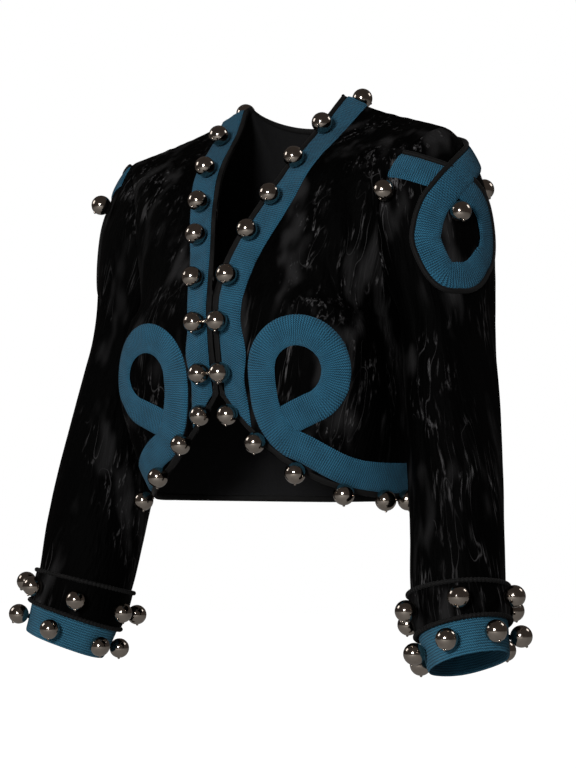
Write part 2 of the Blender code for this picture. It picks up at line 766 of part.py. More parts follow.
# Bindings, which are narrow strips let in along the edges
proud = {"low": -WALL - BINDING_PROUD, "high": BINDING_PROUD}
edge = pulled_in(FRONT, *seams)
down_front = [((0, j), (1, j)) for j in range(FRONT.shape[1] - 1, 1, -1)]
along_hem = [((i, 0), (i, 1)) for i in range(2, FRONT.shape[0])]
strip = down_front + [((0, 0), (1, 1))] + along_hem
both_sides(
    "front_binding",
    np.array([[edge[a], edge[b]] for a, b in strip]),
    np.array([[front_out[a], front_out[b]] for a, b in strip]),
    "binding",
    **proud,
)
wall("back_hem_binding", back_panel[:, :2], back_out[:, :2], "binding", **proud)
neck_edge = BACK[neck.start:neck.stop + 1, [-1, -2]]
neck_edge = pulled_in(neck_edge, ("across", "start"), ("across", "end"), ("up", "end"), gap=SEAM_GAP)
wall("back_neck_binding", neck_edge, back_out[neck.start:neck.stop + 1, [-1, -2]], "binding", **proud)

# Knit tape, which lies on the velvet
layer = {"low": SEAM_GAP, "high": SEAM_GAP + TAPE_THICKNESS}
edge_tape = pulled_in(panel[:3], ("across", "end"))
edge_tapes = both_sides("front_edge_tape", edge_tape, panel_out[:3], "knit_tape", **layer)
wall("back_hem_tape", back_panel[:, 2:5], back_out[:, 2:5], "knit_tape", **layer)
neck_tape = wall("back_neck_tape", back_panel[:, -5:], back_out[:, -5:], "knit_tape", **layer)
neck_path = back_neck_path(BINDING_WIDTH + 2 * SEAM_GAP + TAPE_WIDTH / 2)
cut_to(neck_tape, ribbon("neck_ribbon", whole_back, neck_path, TAPE_WIDTH))
loop_layer = pulled_in(panel[2:], ("across", "start"))
loops = both_sides("front_loop_tape", loop_layer, panel_out[2:], "knit_tape", **layer)
cap = slice(0, CAP_RINGS)
cap_layer, cap_out = tube[:, cap], sleeve_out[:, cap]
shoulder_loops = both_sides("shoulder_loop", cap_layer, cap_out, "knit_tape", ring=True, **layer)
loop_path = front_loop_path()
for side in ("left", "right"):
    on_right = side == "right"
    front_ribbon = ribbon(f"front_ribbon_{side}", front_point, loop_path, LOOP_TAPE_WIDTH, on_right)
    cut_to(loops[side], front_ribbon)
    path = shoulder_loop_path(side)
    cap_ribbon = ribbon(f"cap_ribbon_{side}", sleeve_point, path, SHOULDER_TAPE_WIDTH, on_right)
    cut_to(shoulder_loops[side], cap_ribbon)

# Cuffs, each a velvet band or a knit tube with ball buttons sewn round it
ring_angles = [armhole_angle(s) for s in BODY_SHARES if s >= UNDERARM_SHARE]
ring_angles += [-a for a in ring_angles[::-1][1:-1]]
for name, cuff in CUFFS.items():
    drops = np.linspace(cuff["top"], cuff["bottom"], CUFF_RINGS)
    grid = np.array([[tube_point(a, d, cuff["proud"]) for d in drops] for a in ring_angles])
    grid_out = -outward(np.vstack([grid[-1:], grid, grid[:1]]))[1:-1]
    colour = "velvet" if name == "velvet_band" else "knit_tape"
    made = both_sides(name, grid, grid_out, colour, ring=True)
    tree = surface_tree(made["left"])
    showing = (max(CUFFS["velvet_band"]["bottom"], cuff["top"]) if name == "knit_cuff" else cuff["top"])
    middle = (showing + cuff["bottom"]) / 2
    for side, turn in (("left", 1), ("right", MIRROR)):
        count, first = CUFF_BALLS[side, name]
        balls = []
        for k in range(count):
            angle = math.radians(first + 360 * k / count)
            foot, square = seat([tree], tube_point, angle, middle)
            ball_name = f"{name}_ball_{side}_{k + 1}"
            balls.append(set_ball(ball_name, foot * turn, square * turn, CUTTERS, FUSED_DEPTH))
        fuse(made[side], balls)


def place_pair(name, foot, square):
    for side, turn in (("left", 1), ("right", MIRROR)):
        set_ball(f"{name}_{side}", foot * turn, square * turn)


def closure_link(name, ball_centre):
    """The bar that joins the two balls of a closure across the opening."""
    half = ball_centre[0] - BALL_RADIUS - SEAM_GAP
    bpy.ops.mesh.primitive_cylinder_add(
        vertices=8,
        radius=LINK_RADIUS,
        depth=2 * half,
        location=(0, ball_centre[1], ball_centre[2]),
        rotation=(0, math.pi / 2, 0),
    )
    link = bpy.context.object
    link.name = name
    link.data.materials.append(MATERIALS["chrome"])
    for holder in link.users_collection:
        holder.objects.unlink(link)
    JACKET.objects.link(link)


# Balls down the front edge
trees = [surface_tree(edge_tapes["left"])]
shares = np.linspace(0.10, 1.0, 60)
heights = np.array([front_point(0, s)[2] for s in shares])
inset_heights = [CLOSURE_HEIGHTS[0], EDGE_BALL_HEIGHTS[0]]
insets = np.interp(heights, inset_heights, [CLOSURE_BALL_INSET, EDGE_BALL_INSET])
across = [share_at(lambda f: front_point(f, s), FREE_EDGE, d) for s, d in zip(shares, insets)]
line = np.array([front_point(a, s) for a, s in zip(across, shares)])
for kind, balls_z in (("closure_ball", CLOSURE_HEIGHTS), ("edge_ball", EDGE_BALL_HEIGHTS)):
    for k, z in enumerate(balls_z):
        place = np.interp(z, line[:, 2], across), np.interp(z, line[:, 2], shares)
        foot, square = seat(trees, front_point, *place)
        place_pair(f"{kind}_{k + 1}", foot, square)
        if kind == "closure_ball":
            centre = foot + square * (SEAM_GAP + SHANK_LENGTH + BALL_RADIUS)
            closure_link(f"closure_link_{k + 1}", centre)


# Balls along each front's hem, on the binding, at distances from the lower corner
corner = [0] + list(range(2, FRONT.shape[0]))
inner = [1] + list(range(2, FRONT.shape[0]))
hem_edge, hem_inner, hem_out = FRONT[corner, 0], FRONT[inner, 1], front_out[corner, 0]
walked = walked_along(hem_edge)
for side, turn in (("left", 1), ("right", MIRROR)):
    for k, at in enumerate(HEM_BALL_DISTANCES[side]):
        edge, inside, square = (
            np.array([np.interp(at, walked, rows[:, n]) for n in range(3)])
            for rows in (hem_edge, hem_inner, hem_out)
        )
        square = unit(square)
        foot = edge + unit(inside - edge) * HEM_BALL_INSET + square * BINDING_PROUD
        set_ball(f"hem_ball_{k + 1}_{side}", foot * turn, square * turn)

# Balls at the back neck and on the sleeve caps
trees = [surface_tree(neck_tape)]
ball_path = np.array(back_neck_path(EDGE_BALL_INSET))
neck_line = walked_along(np.array([whole_back(a, s) for a, s in ball_path]))
for k in range(2):
    at = neck_line[-1] - NECK_BALL_INSET - k * NECK_BALL_PITCH
    across, share = (np.interp(at, neck_line, column) for column in ball_path.T)
    set_ball(f"back_neck_ball_{k + 1}_left", *seat(trees, whole_back, across, share))
    set_ball(f"back_neck_ball_{k + 1}_right", *seat(trees, whole_back, -across, share))
for side, turn in (("left", 1), ("right", MIRROR)):
    trees = [surface_tree(shoulder_loops[side]), surface_tree(sleeves[side])]
    for k, place in enumerate(zip(SHOULDER_BALLS[f"{side}_around"], SHOULDER_BALLS[f"{side}_z"])):
        foot, square = seat(trees, sleeve_point, *place_on_cap(*place), turn)
        set_ball(f"shoulder_ball_{k + 1}_{side}", foot, square)
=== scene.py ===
"""The looks of a cropped velvet jacket, filled out in its worn shape.

Metres, +Z up. The front faces -Y and the wearer's left is +X. The shapes repeat the sizes of the
jacket's solids, on finer grids, and add the piled velvet, the knitted trims and the turned buttons.
"""

import math

import bpy
import numpy as np
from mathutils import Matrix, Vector


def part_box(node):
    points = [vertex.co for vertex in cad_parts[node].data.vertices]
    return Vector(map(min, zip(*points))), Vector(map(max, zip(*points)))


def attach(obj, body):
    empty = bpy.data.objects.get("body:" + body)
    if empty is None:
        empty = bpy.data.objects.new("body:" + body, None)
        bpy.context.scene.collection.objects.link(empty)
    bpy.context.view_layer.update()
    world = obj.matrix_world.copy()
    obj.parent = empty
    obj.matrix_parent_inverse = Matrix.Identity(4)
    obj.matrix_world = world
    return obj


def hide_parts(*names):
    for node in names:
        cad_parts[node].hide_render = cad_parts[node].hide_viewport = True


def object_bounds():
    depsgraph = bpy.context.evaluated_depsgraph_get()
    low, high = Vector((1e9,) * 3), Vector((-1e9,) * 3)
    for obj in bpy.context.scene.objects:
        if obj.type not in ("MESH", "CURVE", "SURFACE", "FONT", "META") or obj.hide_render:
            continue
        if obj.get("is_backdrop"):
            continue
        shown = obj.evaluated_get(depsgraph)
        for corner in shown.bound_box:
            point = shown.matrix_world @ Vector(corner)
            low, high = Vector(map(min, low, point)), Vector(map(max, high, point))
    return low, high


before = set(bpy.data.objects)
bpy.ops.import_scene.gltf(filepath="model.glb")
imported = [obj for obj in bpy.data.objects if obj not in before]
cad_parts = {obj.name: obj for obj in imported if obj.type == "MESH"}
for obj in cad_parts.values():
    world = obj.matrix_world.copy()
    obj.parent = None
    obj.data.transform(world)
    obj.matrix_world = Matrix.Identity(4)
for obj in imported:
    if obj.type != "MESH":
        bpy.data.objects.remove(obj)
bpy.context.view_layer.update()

# The camera
# It looks at the jacket from the wearer's left front and a little from below, as in the photograph.
# The lens is long, so the far side is hardly smaller than the near one.
CAMERA_TARGET = Vector((0.001, 0.0, -0.287))
CAMERA_DISTANCE = 2.06
CAMERA_AZIMUTH, CAMERA_ELEVATION = math.radians(33.3), math.radians(-3.5)
camera = bpy.data.objects.new("camera", bpy.data.cameras.new("camera"))
camera.data.lens = 93.2
level = math.cos(CAMERA_ELEVATION)
away = Vector((
    math.sin(CAMERA_AZIMUTH) * level,
    -math.cos(CAMERA_AZIMUTH) * level,
    math.sin(CAMERA_ELEVATION),
))
camera.location = CAMERA_TARGET + away * CAMERA_DISTANCE
camera.rotation_euler = (-away).to_track_quat("-Z", "Y").to_euler()
bpy.context.scene.collection.objects.link(camera)
bpy.context.scene.camera = camera

# The two fronts
# Each front is cut in one piece from black crushed velvet, a knit with a short shiny pile. It curves
# from the neck to a rounded lower corner, and its side and shoulder seams join it to the back.
CLOTH = 0.002
NECK_POINT = np.array([0.059, 0.016, 0.013])
SHOULDER_TIP = np.array([0.191, -0.004, -0.039])
SHOULDER_HOLLOW = 0.007
UNDERARM = np.array([0.150, 0.004, -0.232])
ARMHOLE = {"front": (0.147, -0.064), "back": (0.152, 0.070)}
UNDERARM_SHARE = 0.46
FRONT_SIZE = 150, 110
MIRROR = np.array([-1, 1, 1])
# Above this share of the height a row takes on the shape of the panel's top edge
TOP_SHARE = 0.80
# Folds fade out over this share of a panel's width, next to its seam
FADE_SHARE = 0.12
# Next to its seam the cloth rolls down by this much, within about this distance
SEAM_ROLL_DROP, SEAM_ROLL_REACH = 0.0011, 0.0016


def sections(columns, *rows):
    """A table of sections: each named column as an array, with one value for each row."""
    return dict(zip(columns.split(), np.array(rows, float).T))


FRONT_EDGE = sections(
    "share x      y       z      lead  tail  full  drop",
    (0.00, 0.0006, -0.1215, -0.303, 6, 92, 1.15, 3.0),
    (0.16, 0.0006, -0.1280, -0.272, 6, 96, 1.65, 2.3),
    (0.31, 0.0006, -0.1330, -0.240, 6, 96, 1.98, 1.7),
    (0.46, 0.0010, -0.1330, -0.205, 7, 88, 1.85, 1.3),
    (0.60, 0.0090, -0.1170, -0.158, 9, 72, 1.40, 1.0),
    (0.74, 0.0270, -0.0870, -0.106, 10, 52, 1.15, 1.0),
    (0.88, 0.0425, -0.0460, -0.054, 6, 26, 1.05, 1.0),
    (0.945, 0.0500, -0.0100, -0.018, 2, 10, 1.00, 1.0),
    (1.00, NECK_POINT[0], NECK_POINT[1], NECK_POINT[2], 0, 0, 1.00, 1.0),
)
SIDE_SEAM = sections(
    "share x      z",
    (0.00, 0.147, -0.407),
    (0.16, 0.150, -0.362),
    (0.31, 0.150, -0.305),
    (0.46, UNDERARM[0], UNDERARM[2]),
)


def curved(start, leave, end, arrive, f):
    """A point on the curve from start to end that leaves and arrives along two given arrows."""
    return (
        start * (2 * f**3 - 3 * f**2 + 1)
        + leave * (f**3 - 2 * f**2 + f)
        + end * (3 * f**2 - 2 * f**3)
        + arrive * (f**3 - f**2)
    )


def smooth(table, column, at, key="share"):
    """A column's values at any places, on a smooth curve through the table's rows."""
    knots, values = table[key], table[column]
    slopes = np.gradient(values, knots)
    at = np.clip(at, knots[0], knots[-1])
    i = np.clip(np.searchsorted(knots, at, side="right") - 1, 0, len(knots) - 2)
    span = knots[i + 1] - knots[i]
    f = (at - knots[i]) / span
    return curved(values[i], slopes[i] * span, values[i + 1], slopes[i + 1] * span, f)


def unit(arrows):
    """The arrows, each made one long."""
    return arrows / np.linalg.norm(arrows, axis=-1, keepdims=True)


def eased(share):
    """A share, held between 0 and 1, that leaves 0 and arrives at 1 gently."""
    share = np.clip(share, 0, 1)
    return share * share * (3 - 2 * share)


def armhole(angle, face):
    """The armhole seam: angle 0 is the shoulder tip and 180 degrees the underarm point."""
    up = (1 + np.cos(angle)) / 2
    wide, deep = ARMHOLE[face]
    x = wide + (SHOULDER_TIP[0] - wide) * up**5 + (UNDERARM[0] - wide) * (1 - up) ** 6
    y = UNDERARM[1] + (SHOULDER_TIP[1] - UNDERARM[1]) * up + deep * np.sin(angle)
    return np.stack([x, y, UNDERARM[2] + (SHOULDER_TIP[2] - UNDERARM[2]) * up], -1)


def outer_edge(share, face):
    """Where a body row ends: on the side seam, or above it on the armhole."""
    hole = armhole(np.pi * (1 - np.maximum(share - UNDERARM_SHARE, 0) / (1 - UNDERARM_SHARE)), face)
    y = np.full_like(share, UNDERARM[1])
    side = np.stack([smooth(SIDE_SEAM, "x", share), y, smooth(SIDE_SEAM, "z", share)], -1)
    return np.where((share <= UNDERARM_SHARE)[..., None], side, hole)


def shoulder_seam(f):
    """The shoulder seam, from the neck point, 0, to the shoulder tip, 1, hollowed by the neck."""
    f = np.asarray(f, float)[..., None]
    hollow = np.array([0, 0, SHOULDER_HOLLOW])
    return NECK_POINT + (SHOULDER_TIP - NECK_POINT) * f - hollow * 4 * f * (1 - f) * (1 - f)


def bowed_row(start, end, row, f):
    """A row that leaves and arrives at given angles in plan, and drops towards its end."""
    lead, tail = np.radians(row["lead"]), np.radians(row["tail"])
    chord = row["full"] * np.linalg.norm((end - start)[..., :2], axis=-1)
    leave = np.stack([chord * np.cos(lead), chord * np.sin(lead), chord * 0], -1)
    arrive = np.stack([chord * np.cos(tail), chord * np.sin(tail), chord * 0], -1)
    point = curved(start, leave, end, arrive, f[..., None])
    fall = 1 - np.maximum(1 - f, 0) ** row["drop"]
    point[..., 2] = start[..., 2] + (end[..., 2] - start[..., 2]) * fall
    return point


def towards_top(level_row, top, start, end, across, share):
    """A row's point, drawn over to the shape of the panel's top edge as the row nears it."""
    blend = eased((share - TOP_SHARE) / (1 - TOP_SHARE))[..., None]
    across = across[..., None]
    ends = (start - top(0.0)) * (1 - across) + (end - top(1.0)) * across
    return level_row * (1 - blend) + (top(across[..., 0]) + ends) * blend


def front_point(across, share):
    """The left front's surface, from its free edge, 0, to the side seam or armhole, 1."""
    across, share = np.broadcast_arrays(np.asarray(across, float), np.asarray(share, float))
    row = {name: smooth(FRONT_EDGE, name, share) for name in FRONT_EDGE}
    start = np.stack([np.maximum(row["x"], FRONT_EDGE["x"][0]), row["y"], row["z"]], -1)
    end = outer_edge(share, "front")
    level_row = bowed_row(start, end, row, across)
    return towards_top(level_row, shoulder_seam, start, end, across, share)


def arrows(surface, a, b, outside, step=0.002):
    """The unit arrows that point out of a surface at some places on it."""
    way_a = surface(a + step, b) - surface(a - step, b)
    way_b = surface(a, b + step) - surface(a, b - step)
    return unit(np.cross(way_a, way_b)) * outside


# Folds of each front in its own plan, x and z: where each one starts and ends, how wide it is and
# how far it stands out, or in where it is a trough. The first is the soft fold beside the armhole.
FOLDS = {
    "front_left": sections(
        "x1     z1      x2     z2     width  depth",
        (0.097, -0.055, 0.121, -0.190, 0.0120, 0.0034),
        (0.118, -0.070, 0.134, -0.180, 0.0070, -0.0022),
        (0.077, -0.045, 0.073, -0.120, 0.0090, 0.0020),
        (0.096, -0.160, 0.110, -0.205, 0.0040, 0.0016),
        (0.112, -0.150, 0.121, -0.215, 0.0045, 0.0018),
        (0.084, -0.130, 0.090, -0.176, 0.0030, 0.0012),
        (0.137, -0.215, 0.141, -0.330, 0.0050, 0.0014),
        (0.128, -0.250, 0.136, -0.380, 0.0040, -0.0012),
        (0.060, -0.140, 0.057, -0.215, 0.0050, 0.0012),
    ),
    "front_right": sections(
        "x1     z1      x2     z2     width  depth",
        (-0.090, -0.050, -0.118, -0.200, 0.0100, 0.0026),
        (-0.110, -0.060, -0.126, -0.170, 0.0070, -0.0020),
        (-0.078, -0.070, -0.096, -0.190, 0.0060, 0.0018),
        (-0.068, -0.100, -0.082, -0.215, 0.0045, 0.0014),
        (-0.100, -0.150, -0.108, -0.235, 0.0040, -0.0012),
        (-0.134, -0.220, -0.142, -0.340, 0.0050, 0.0014),
        (-0.126, -0.260, -0.134, -0.375, 0.0040, -0.0010),
    ),
    "back": sections(
        "x1     z1      x2     z2     width  depth",
        (-0.105, -0.060, -0.128, -0.210, 0.0110, 0.0030),
        (0.108, -0.055, 0.124, -0.200, 0.0100, 0.0028),
        (-0.070, -0.120, -0.062, -0.260, 0.0080, -0.0018),
        (0.062, -0.110, 0.071, -0.240, 0.0080, -0.0020),
        (-0.020, -0.150, -0.012, -0.330, 0.0070, 0.0016),
        (0.028, -0.190, 0.036, -0.350, 0.0060, 0.0014),
        (-0.100, -0.240, -0.112, -0.370, 0.0060, 0.0016),
        (0.104, -0.250, 0.098, -0.365, 0.0060, -0.0014),
    ),
}
RIPPLE_HEIGHT = 0.0002


def folded(points, name):
    """How far the cloth stands out of its smooth shape, in its folds and its uneven lie."""
    x, z = points[..., 0], points[..., 2]
    out = np.zeros(x.shape)
    for x1, z1, x2, z2, width, depth in zip(*FOLDS[name].values()):
        run = np.array([x2 - x1, z2 - z1])
        length = np.linalg.norm(run)
        along = ((x - x1) * run[0] + (z - z1) * run[1]) / length**2
        beside = ((x - x1) * run[1] - (z - z1) * run[0]) / length
        beside = beside + 0.25 * width * np.sin(along * 7 + x1 * 90)
        ends = np.clip(along * (1 - along) * 4, 0, 1)
        out += depth * ends * np.exp(-((beside / width) ** 2))
    return out + rippled(x * 1.1 + points[..., 1] * 0.8, z)


def rippled(round_body, z):
    """The small uneven waves of a cloth that was crushed lengthwise."""
    waves = np.sin(round_body * 420 + 3.1 * np.sin(z * 31) + z * 24)
    waves = waves + np.sin(round_body * 263 - z * 37 + 2.2 * np.sin(z * 19 + 1.3))
    return RIPPLE_HEIGHT * waves * (0.6 + 0.4 * np.sin(round_body * 61 + z * 43))


def new_piece(name, corners, faces, *materials):
    """A smooth mesh in the scene, from its corners and faces."""
    mesh = bpy.data.meshes.new(name)
    mesh.from_pydata(corners.tolist(), [], faces)
    for material in materials:
        mesh.materials.append(material)
    mesh.shade_smooth()
    piece = bpy.data.objects.new(name, mesh)
    bpy.context.scene.collection.objects.link(piece)
    return piece


def sheet_faces(index, layer, ring):
    """Quads of a closed sheet: the outer layer, the inner one and the rims between them.

    The index is a grid of the outer corners' numbers, and layer is added for the inner ones.
    """
    outer = np.stack([index[:-1, :-1], index[1:, :-1], index[1:, 1:], index[:-1, 1:]], -1)
    outer = outer.reshape(-1, 4)
    edges = [index[:, 0], index[::-1, -1]]
    if not ring:
        edges += [index[0, ::-1], index[-1]]
    rims = [np.stack([line[1:], line[:-1], line[:-1] + layer, line[1:] + layer], -1) for line in edges]
    return np.vstack([outer, outer[:, ::-1] + layer, *rims])


def cloth(name, points, square, low, high, materials, ring=False, uv=None):
    """A closed sheet of cloth over a grid of points, from low to high along the outward arrows."""
    rows, columns = points.shape[:2]
    low, high = (np.broadcast_to(v, (rows, columns))[..., None] for v in (low, high))
    corners = np.vstack([(points + square * v).reshape(-1, 3) for v in (high, low)])
    index = np.arange(rows * columns).reshape(rows, columns)
    unwrapped = np.arange((rows + ring) * columns).reshape(rows + ring, columns)
    if ring:
        index = np.vstack([index, index[:1]])
    turn = np.cross(points[1:, :-1] - points[:-1, :-1], points[:-1, 1:] - points[:-1, :-1])
    way = -1 if (turn * square[:-1, :-1]).sum() < 0 else 1
    faces = sheet_faces(index, rows * columns, ring)[:, ::way]
    piece = new_piece(name, corners, faces.tolist(), *materials)
    mesh = piece.data
    if len(materials) > 1:
        one_layer = (index.shape[0] - 1) * (index.shape[1] - 1)
        inside = np.zeros(len(faces), np.int32)
        inside[one_layer:2 * one_layer] = 1
        mesh.polygons.foreach_set("material_index", inside)
    if uv is not None:
        places = sheet_faces(unwrapped, 0, ring)[:, ::way]
        mesh.uv_layers.new(name="length_and_width")
        mesh.uv_layers[0].uv.foreach_set("vector", uv.reshape(-1, 2)[places].astype(np.float32).ravel())
    mesh.set_sharp_from_angle(angle=math.radians(55))
    mesh.validate()
    return piece


def fitted(piece, slot, *nodes):
    """Fastens a finished piece to the jacket, in place of the solids that it stands for."""
    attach(piece, "root")
    if nodes:
        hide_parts(*nodes)


def linear(hex_colour):
    """The linear colour, with full alpha, of an sRGB hex value."""
    channels = [int(hex_colour[k:k + 2], 16) / 255 for k in (1, 3, 5)]
    return [c / 12.92 if c <= 0.04045 else ((c + 0.055) / 1.055) ** 2.4 for c in channels] + [1.0]


def set_inputs(material, node, inputs):
    """Gives a node's inputs their values, or their links from other nodes."""
    for socket, value in dict(inputs).items():
        if isinstance(value, bpy.types.NodeSocket):
            material.node_tree.links.new(value, node.inputs[socket])
        else:
            node.inputs[socket].default_value = value


def add(material, kind, inputs=(), **settings):
    """Adds a node with its settings, and its inputs as values or links."""
    node = material.node_tree.nodes.new(kind)
    for name, value in settings.items():
        setattr(node, name, value)
    set_inputs(material, node, inputs)
    return node


def new_material(name):
    """An empty node material and the shader at its end."""
    material = bpy.data.materials.new(name)
    material.use_nodes = True
    return material, material.node_tree.nodes["Principled BSDF"]


def crushed_velvet(name, lean):
    """Polyester crushed velvet: a 1.5 mm pile pressed over in lengthwise strokes, at a lean.

    The standing pile swallows nearly all light. Where it lies over, and on the crush lines, it
    shines grey: this sheen is painted into the base colour as grey strokes, lines and patches.
    """
    made, shader = new_material(name)
    place = add(made, "ShaderNodeTexCoord").outputs["Object"]
    # All that lies along the nap wanders by a few millimetres
    wander = add(made, "ShaderNodeTexNoise", {"Vector": place, "Scale": 17, "Detail": 1}).outputs["Color"]
    shift = add(made, "ShaderNodeVectorMath", {0: wander, 1: (0.011, 0.011, 0.004)}, operation="MULTIPLY")
    bent = add(made, "ShaderNodeVectorMath", {0: place, 1: shift.outputs[0]}, operation="ADD").outputs[0]
    # Noises that lie along the nap, each so many times as long as wide: strokes 4 mm wide, made of
    # hairs, crush lines under a millimetre wide, patches some 40 mm wide that catch the light, and
    # broad soft patches. Together they set where the grey painted sheen lies
    noises = {}
    for kind, vector, longer, scale, detail in (
        ("stroke", bent, 12, 240, 1),
        ("hair", bent, 14, 800, 2),
        ("crease", bent, 24, 85, 0),
        ("patch", place, 2.4, 27, 2),
        ("painted_bloom", bent, 3, 34, 2),
    ):
        along = {"Vector": vector, "Rotation": (0, lean, 0), "Scale": (1, 1, longer)}
        along = add(made, "ShaderNodeMapping", along, vector_type="TEXTURE").outputs[0]
        noise = {"Vector": along, "Scale": scale, "Detail": detail}
        noises[kind] = add(made, "ShaderNodeTexNoise", noise).outputs["Fac"]
    # A crush line of painted sheen lies where its noise is 0.5, and fades out where the cloth faces up,
    # over the shoulder
    crease = add(made, "ShaderNodeMath", {0: noises["crease"], 1: 0.5}, operation="SUBTRACT").outputs[0]
    crease = add(made, "ShaderNodeMath", {0: crease}, operation="ABSOLUTE").outputs[0]
    facing = add(made, "ShaderNodeNewGeometry").outputs["Normal"]
    facing = add(made, "ShaderNodeSeparateXYZ", {0: facing}).outputs[2]
    shown = {}
    for kind, value, low, high, first, last in (
        ("stroke", noises["stroke"], 0.54, 0.74, 0.0, 0.8),
        ("hair", noises["hair"], 0.38, 0.66, 0.0, 1.0),
        ("crease", crease, 0.0, 0.012, 0.36, 0.0),
        ("upright", facing, 0.15, 0.45, 1.0, 0.0),
        ("patch", noises["patch"], 0.48, 0.66, 0.0, 1.0),
        ("painted_bloom", noises["painted_bloom"], 0.52, 0.74, 0.0, 0.16),
    ):
        ramp = {0: value, 1: low, 2: high, 3: first, 4: last}
        shown[kind] = add(made, "ShaderNodeMapRange", ramp, interpolation_type="SMOOTHSTEP").outputs[0]
    for kind, operation, one, other in (
        ("combed_sheen", "MULTIPLY", "stroke", "hair"),
        ("crease", "MULTIPLY", "crease", "upright"),
        ("painted_streaks", "MAXIMUM", "combed_sheen", "crease"),
        ("painted_streaks", "MULTIPLY", "painted_streaks", "patch"),
        ("painted_sheen", "MAXIMUM", "painted_streaks", "painted_bloom"),
    ):
        both = {0: shown[one], 1: shown[other]}
        shown[kind] = add(made, "ShaderNodeMath", both, operation=operation).outputs[0]
    # The base colour goes from black to grey where the painted sheen lies: a painted highlight of the pile
    black_to_painted_sheen = {0: shown["painted_sheen"], 6: linear("#010101"), 7: linear("#5a595a")}
    colour = add(made, "ShaderNodeMix", black_to_painted_sheen, data_type="RGBA")
    smoother = {0: shown["painted_sheen"], 3: 0.66, 4: 0.38}
    rough = add(made, "ShaderNodeMapRange", smoother, interpolation_type="SMOOTHSTEP")
    # The pile itself, in tufts of half a millimetre, drawn at 0.9 mm so that it shows
    pile = add(made, "ShaderNodeTexNoise", {"Vector": place, "Scale": 1100, "Detail": 1}).outputs["Fac"]
    relief = add(made, "ShaderNodeMath", {0: noises["stroke"], 1: 4.0, 2: pile}, operation="MULTIPLY_ADD")
    bump = add(made, "ShaderNodeBump", {"Height": relief.outputs[0], "Strength": 0.6, "Distance": 0.0006})
    set_inputs(made, shader, {
        "Base Color": colour.outputs[2],
        "Roughness": rough.outputs[0],
        "Normal": bump.outputs[0],
        "Specular IOR Level": 0.02,
        "Sheen Weight": 0.002,
        "Sheen Roughness": 0.30,
        "Sheen Tint": linear("#c4c1bf"),
    })
    return made


def velvet_reverse():
    """The back of the velvet: its plain warp-knit ground, matt and as black as the pile."""
    made, shader = new_material("velvet_reverse")
    place = add(made, "ShaderNodeTexCoord").outputs["Object"]
    # Loops of the ground knit are 0.6 mm, drawn at 1.2 mm so that they show
    loops = add(made, "ShaderNodeTexNoise", {"Vector": place, "Scale": 830, "Detail": 1}).outputs["Fac"]
    shades = {0: loops, 6: linear("#0b0b0c"), 7: linear("#171718")}
    colour = add(made, "ShaderNodeMix", shades, data_type="RGBA")
    bump = add(made, "ShaderNodeBump", {"Height": loops, "Strength": 0.4, "Distance": 0.0004})
    set_inputs(made, shader, {
        "Base Color": colour.outputs[2],
        "Normal": bump.outputs[0],
        "Roughness": 0.9,
        "Specular IOR Level": 0.15,
    })
    return made


REVERSE = velvet_reverse()
BODY_VELVET = [crushed_velvet("crushed_velvet_body", 0.26), REVERSE]


def seam_roll(points):
    """How far the cloth rolls down at the grid's outer and top edges, where it is seamed."""
    across = np.linalg.norm(np.diff(points, axis=0), axis=-1)
    from_end = np.vstack([np.cumsum(across[::-1], axis=0)[::-1], np.zeros((1, points.shape[1]))])
    up = np.linalg.norm(np.diff(points, axis=1), axis=-1)
    from_top = np.hstack([np.cumsum(up[:, ::-1], axis=1)[:, ::-1], np.zeros((points.shape[0], 1))])
    return -SEAM_ROLL_DROP * (np.exp(-from_end / SEAM_ROLL_REACH) + np.exp(-from_top / SEAM_ROLL_REACH))


def denser_at_end(count, start=0.0, end=1.0):
    """Shares with smaller steps near the end, where the cloth rolls into its seam."""
    f = np.linspace(0, 1, count)
    return start + (end - start) * (1 - (1 - f) ** 1.5)


across_shares = denser_at_end(FRONT_SIZE[1])[:, None]
up_shares = np.concatenate([
    np.linspace(0, UNDERARM_SHARE, FRONT_SIZE[0] // 2),
    denser_at_end(FRONT_SIZE[0] // 2, UNDERARM_SHARE)[1:],
])[None, :]
front_base = front_point(across_shares, up_shares)
front_square = arrows(front_point, across_shares, up_shares, 1)
fade_to_seam = np.clip((1 - across_shares) / FADE_SHARE, 0, 1)
for side, turn in (("left", 1), ("right", MIRROR)):
    points, square = front_base * turn, front_square * turn
    rolled = seam_roll(points)
    depth = folded(points, f"front_{side}") * fade_to_seam
    front = cloth(f"velvet_front_{side}", points, square, depth - CLOTH, depth + rolled, BODY_VELVET)
    fitted(front, "velvet", f"front_{side}")

# The back
# The back is one wide piece of the same velvet. It is cut with a shallow round neck, sloped
# shoulders and a hem that runs level from side to side.
BACK_NECK = np.array([0.0, 0.070, -0.008])
BACK_NECK_SHARE = 0.34
BACK_SIZE = 150, 101
BACK_MIDDLE = sections(
    "share y      z      tail  full  drop",
    (0.00, 0.088, -0.409, 92, 1.30, 1.0),
    (0.16, 0.084, -0.366, 92, 1.35, 1.0),
    (0.31, 0.088, -0.310, 92, 1.40, 1.0),
    (0.46, 0.098, -0.242, 86, 1.40, 1.0),
    (0.60, 0.103, -0.180, 68, 1.25, 1.0),
    (0.74, 0.100, -0.118, 46, 1.10, 1.0),
    (0.88, 0.088, -0.060, 22, 1.00, 1.0),
    (1.00, 0.070, -0.008, 6, 1.00, 1.0),
)


def back_top(across):
    """The back's top edge: half the neck curve, and then the shoulder seam."""
    across = np.asarray(across, float)
    angle = np.pi / 2 * np.clip(across / BACK_NECK_SHARE, 0, 1)[..., None]
    flat = NECK_POINT * np.array([0, 1, 1])
    round_neck = flat + (NECK_POINT - flat) * np.sin(angle) + (BACK_NECK - flat) * np.cos(angle)
    seam = shoulder_seam(np.maximum((across - BACK_NECK_SHARE) / (1 - BACK_NECK_SHARE), 0))
    return np.where((across < BACK_NECK_SHARE)[..., None], round_neck, seam)


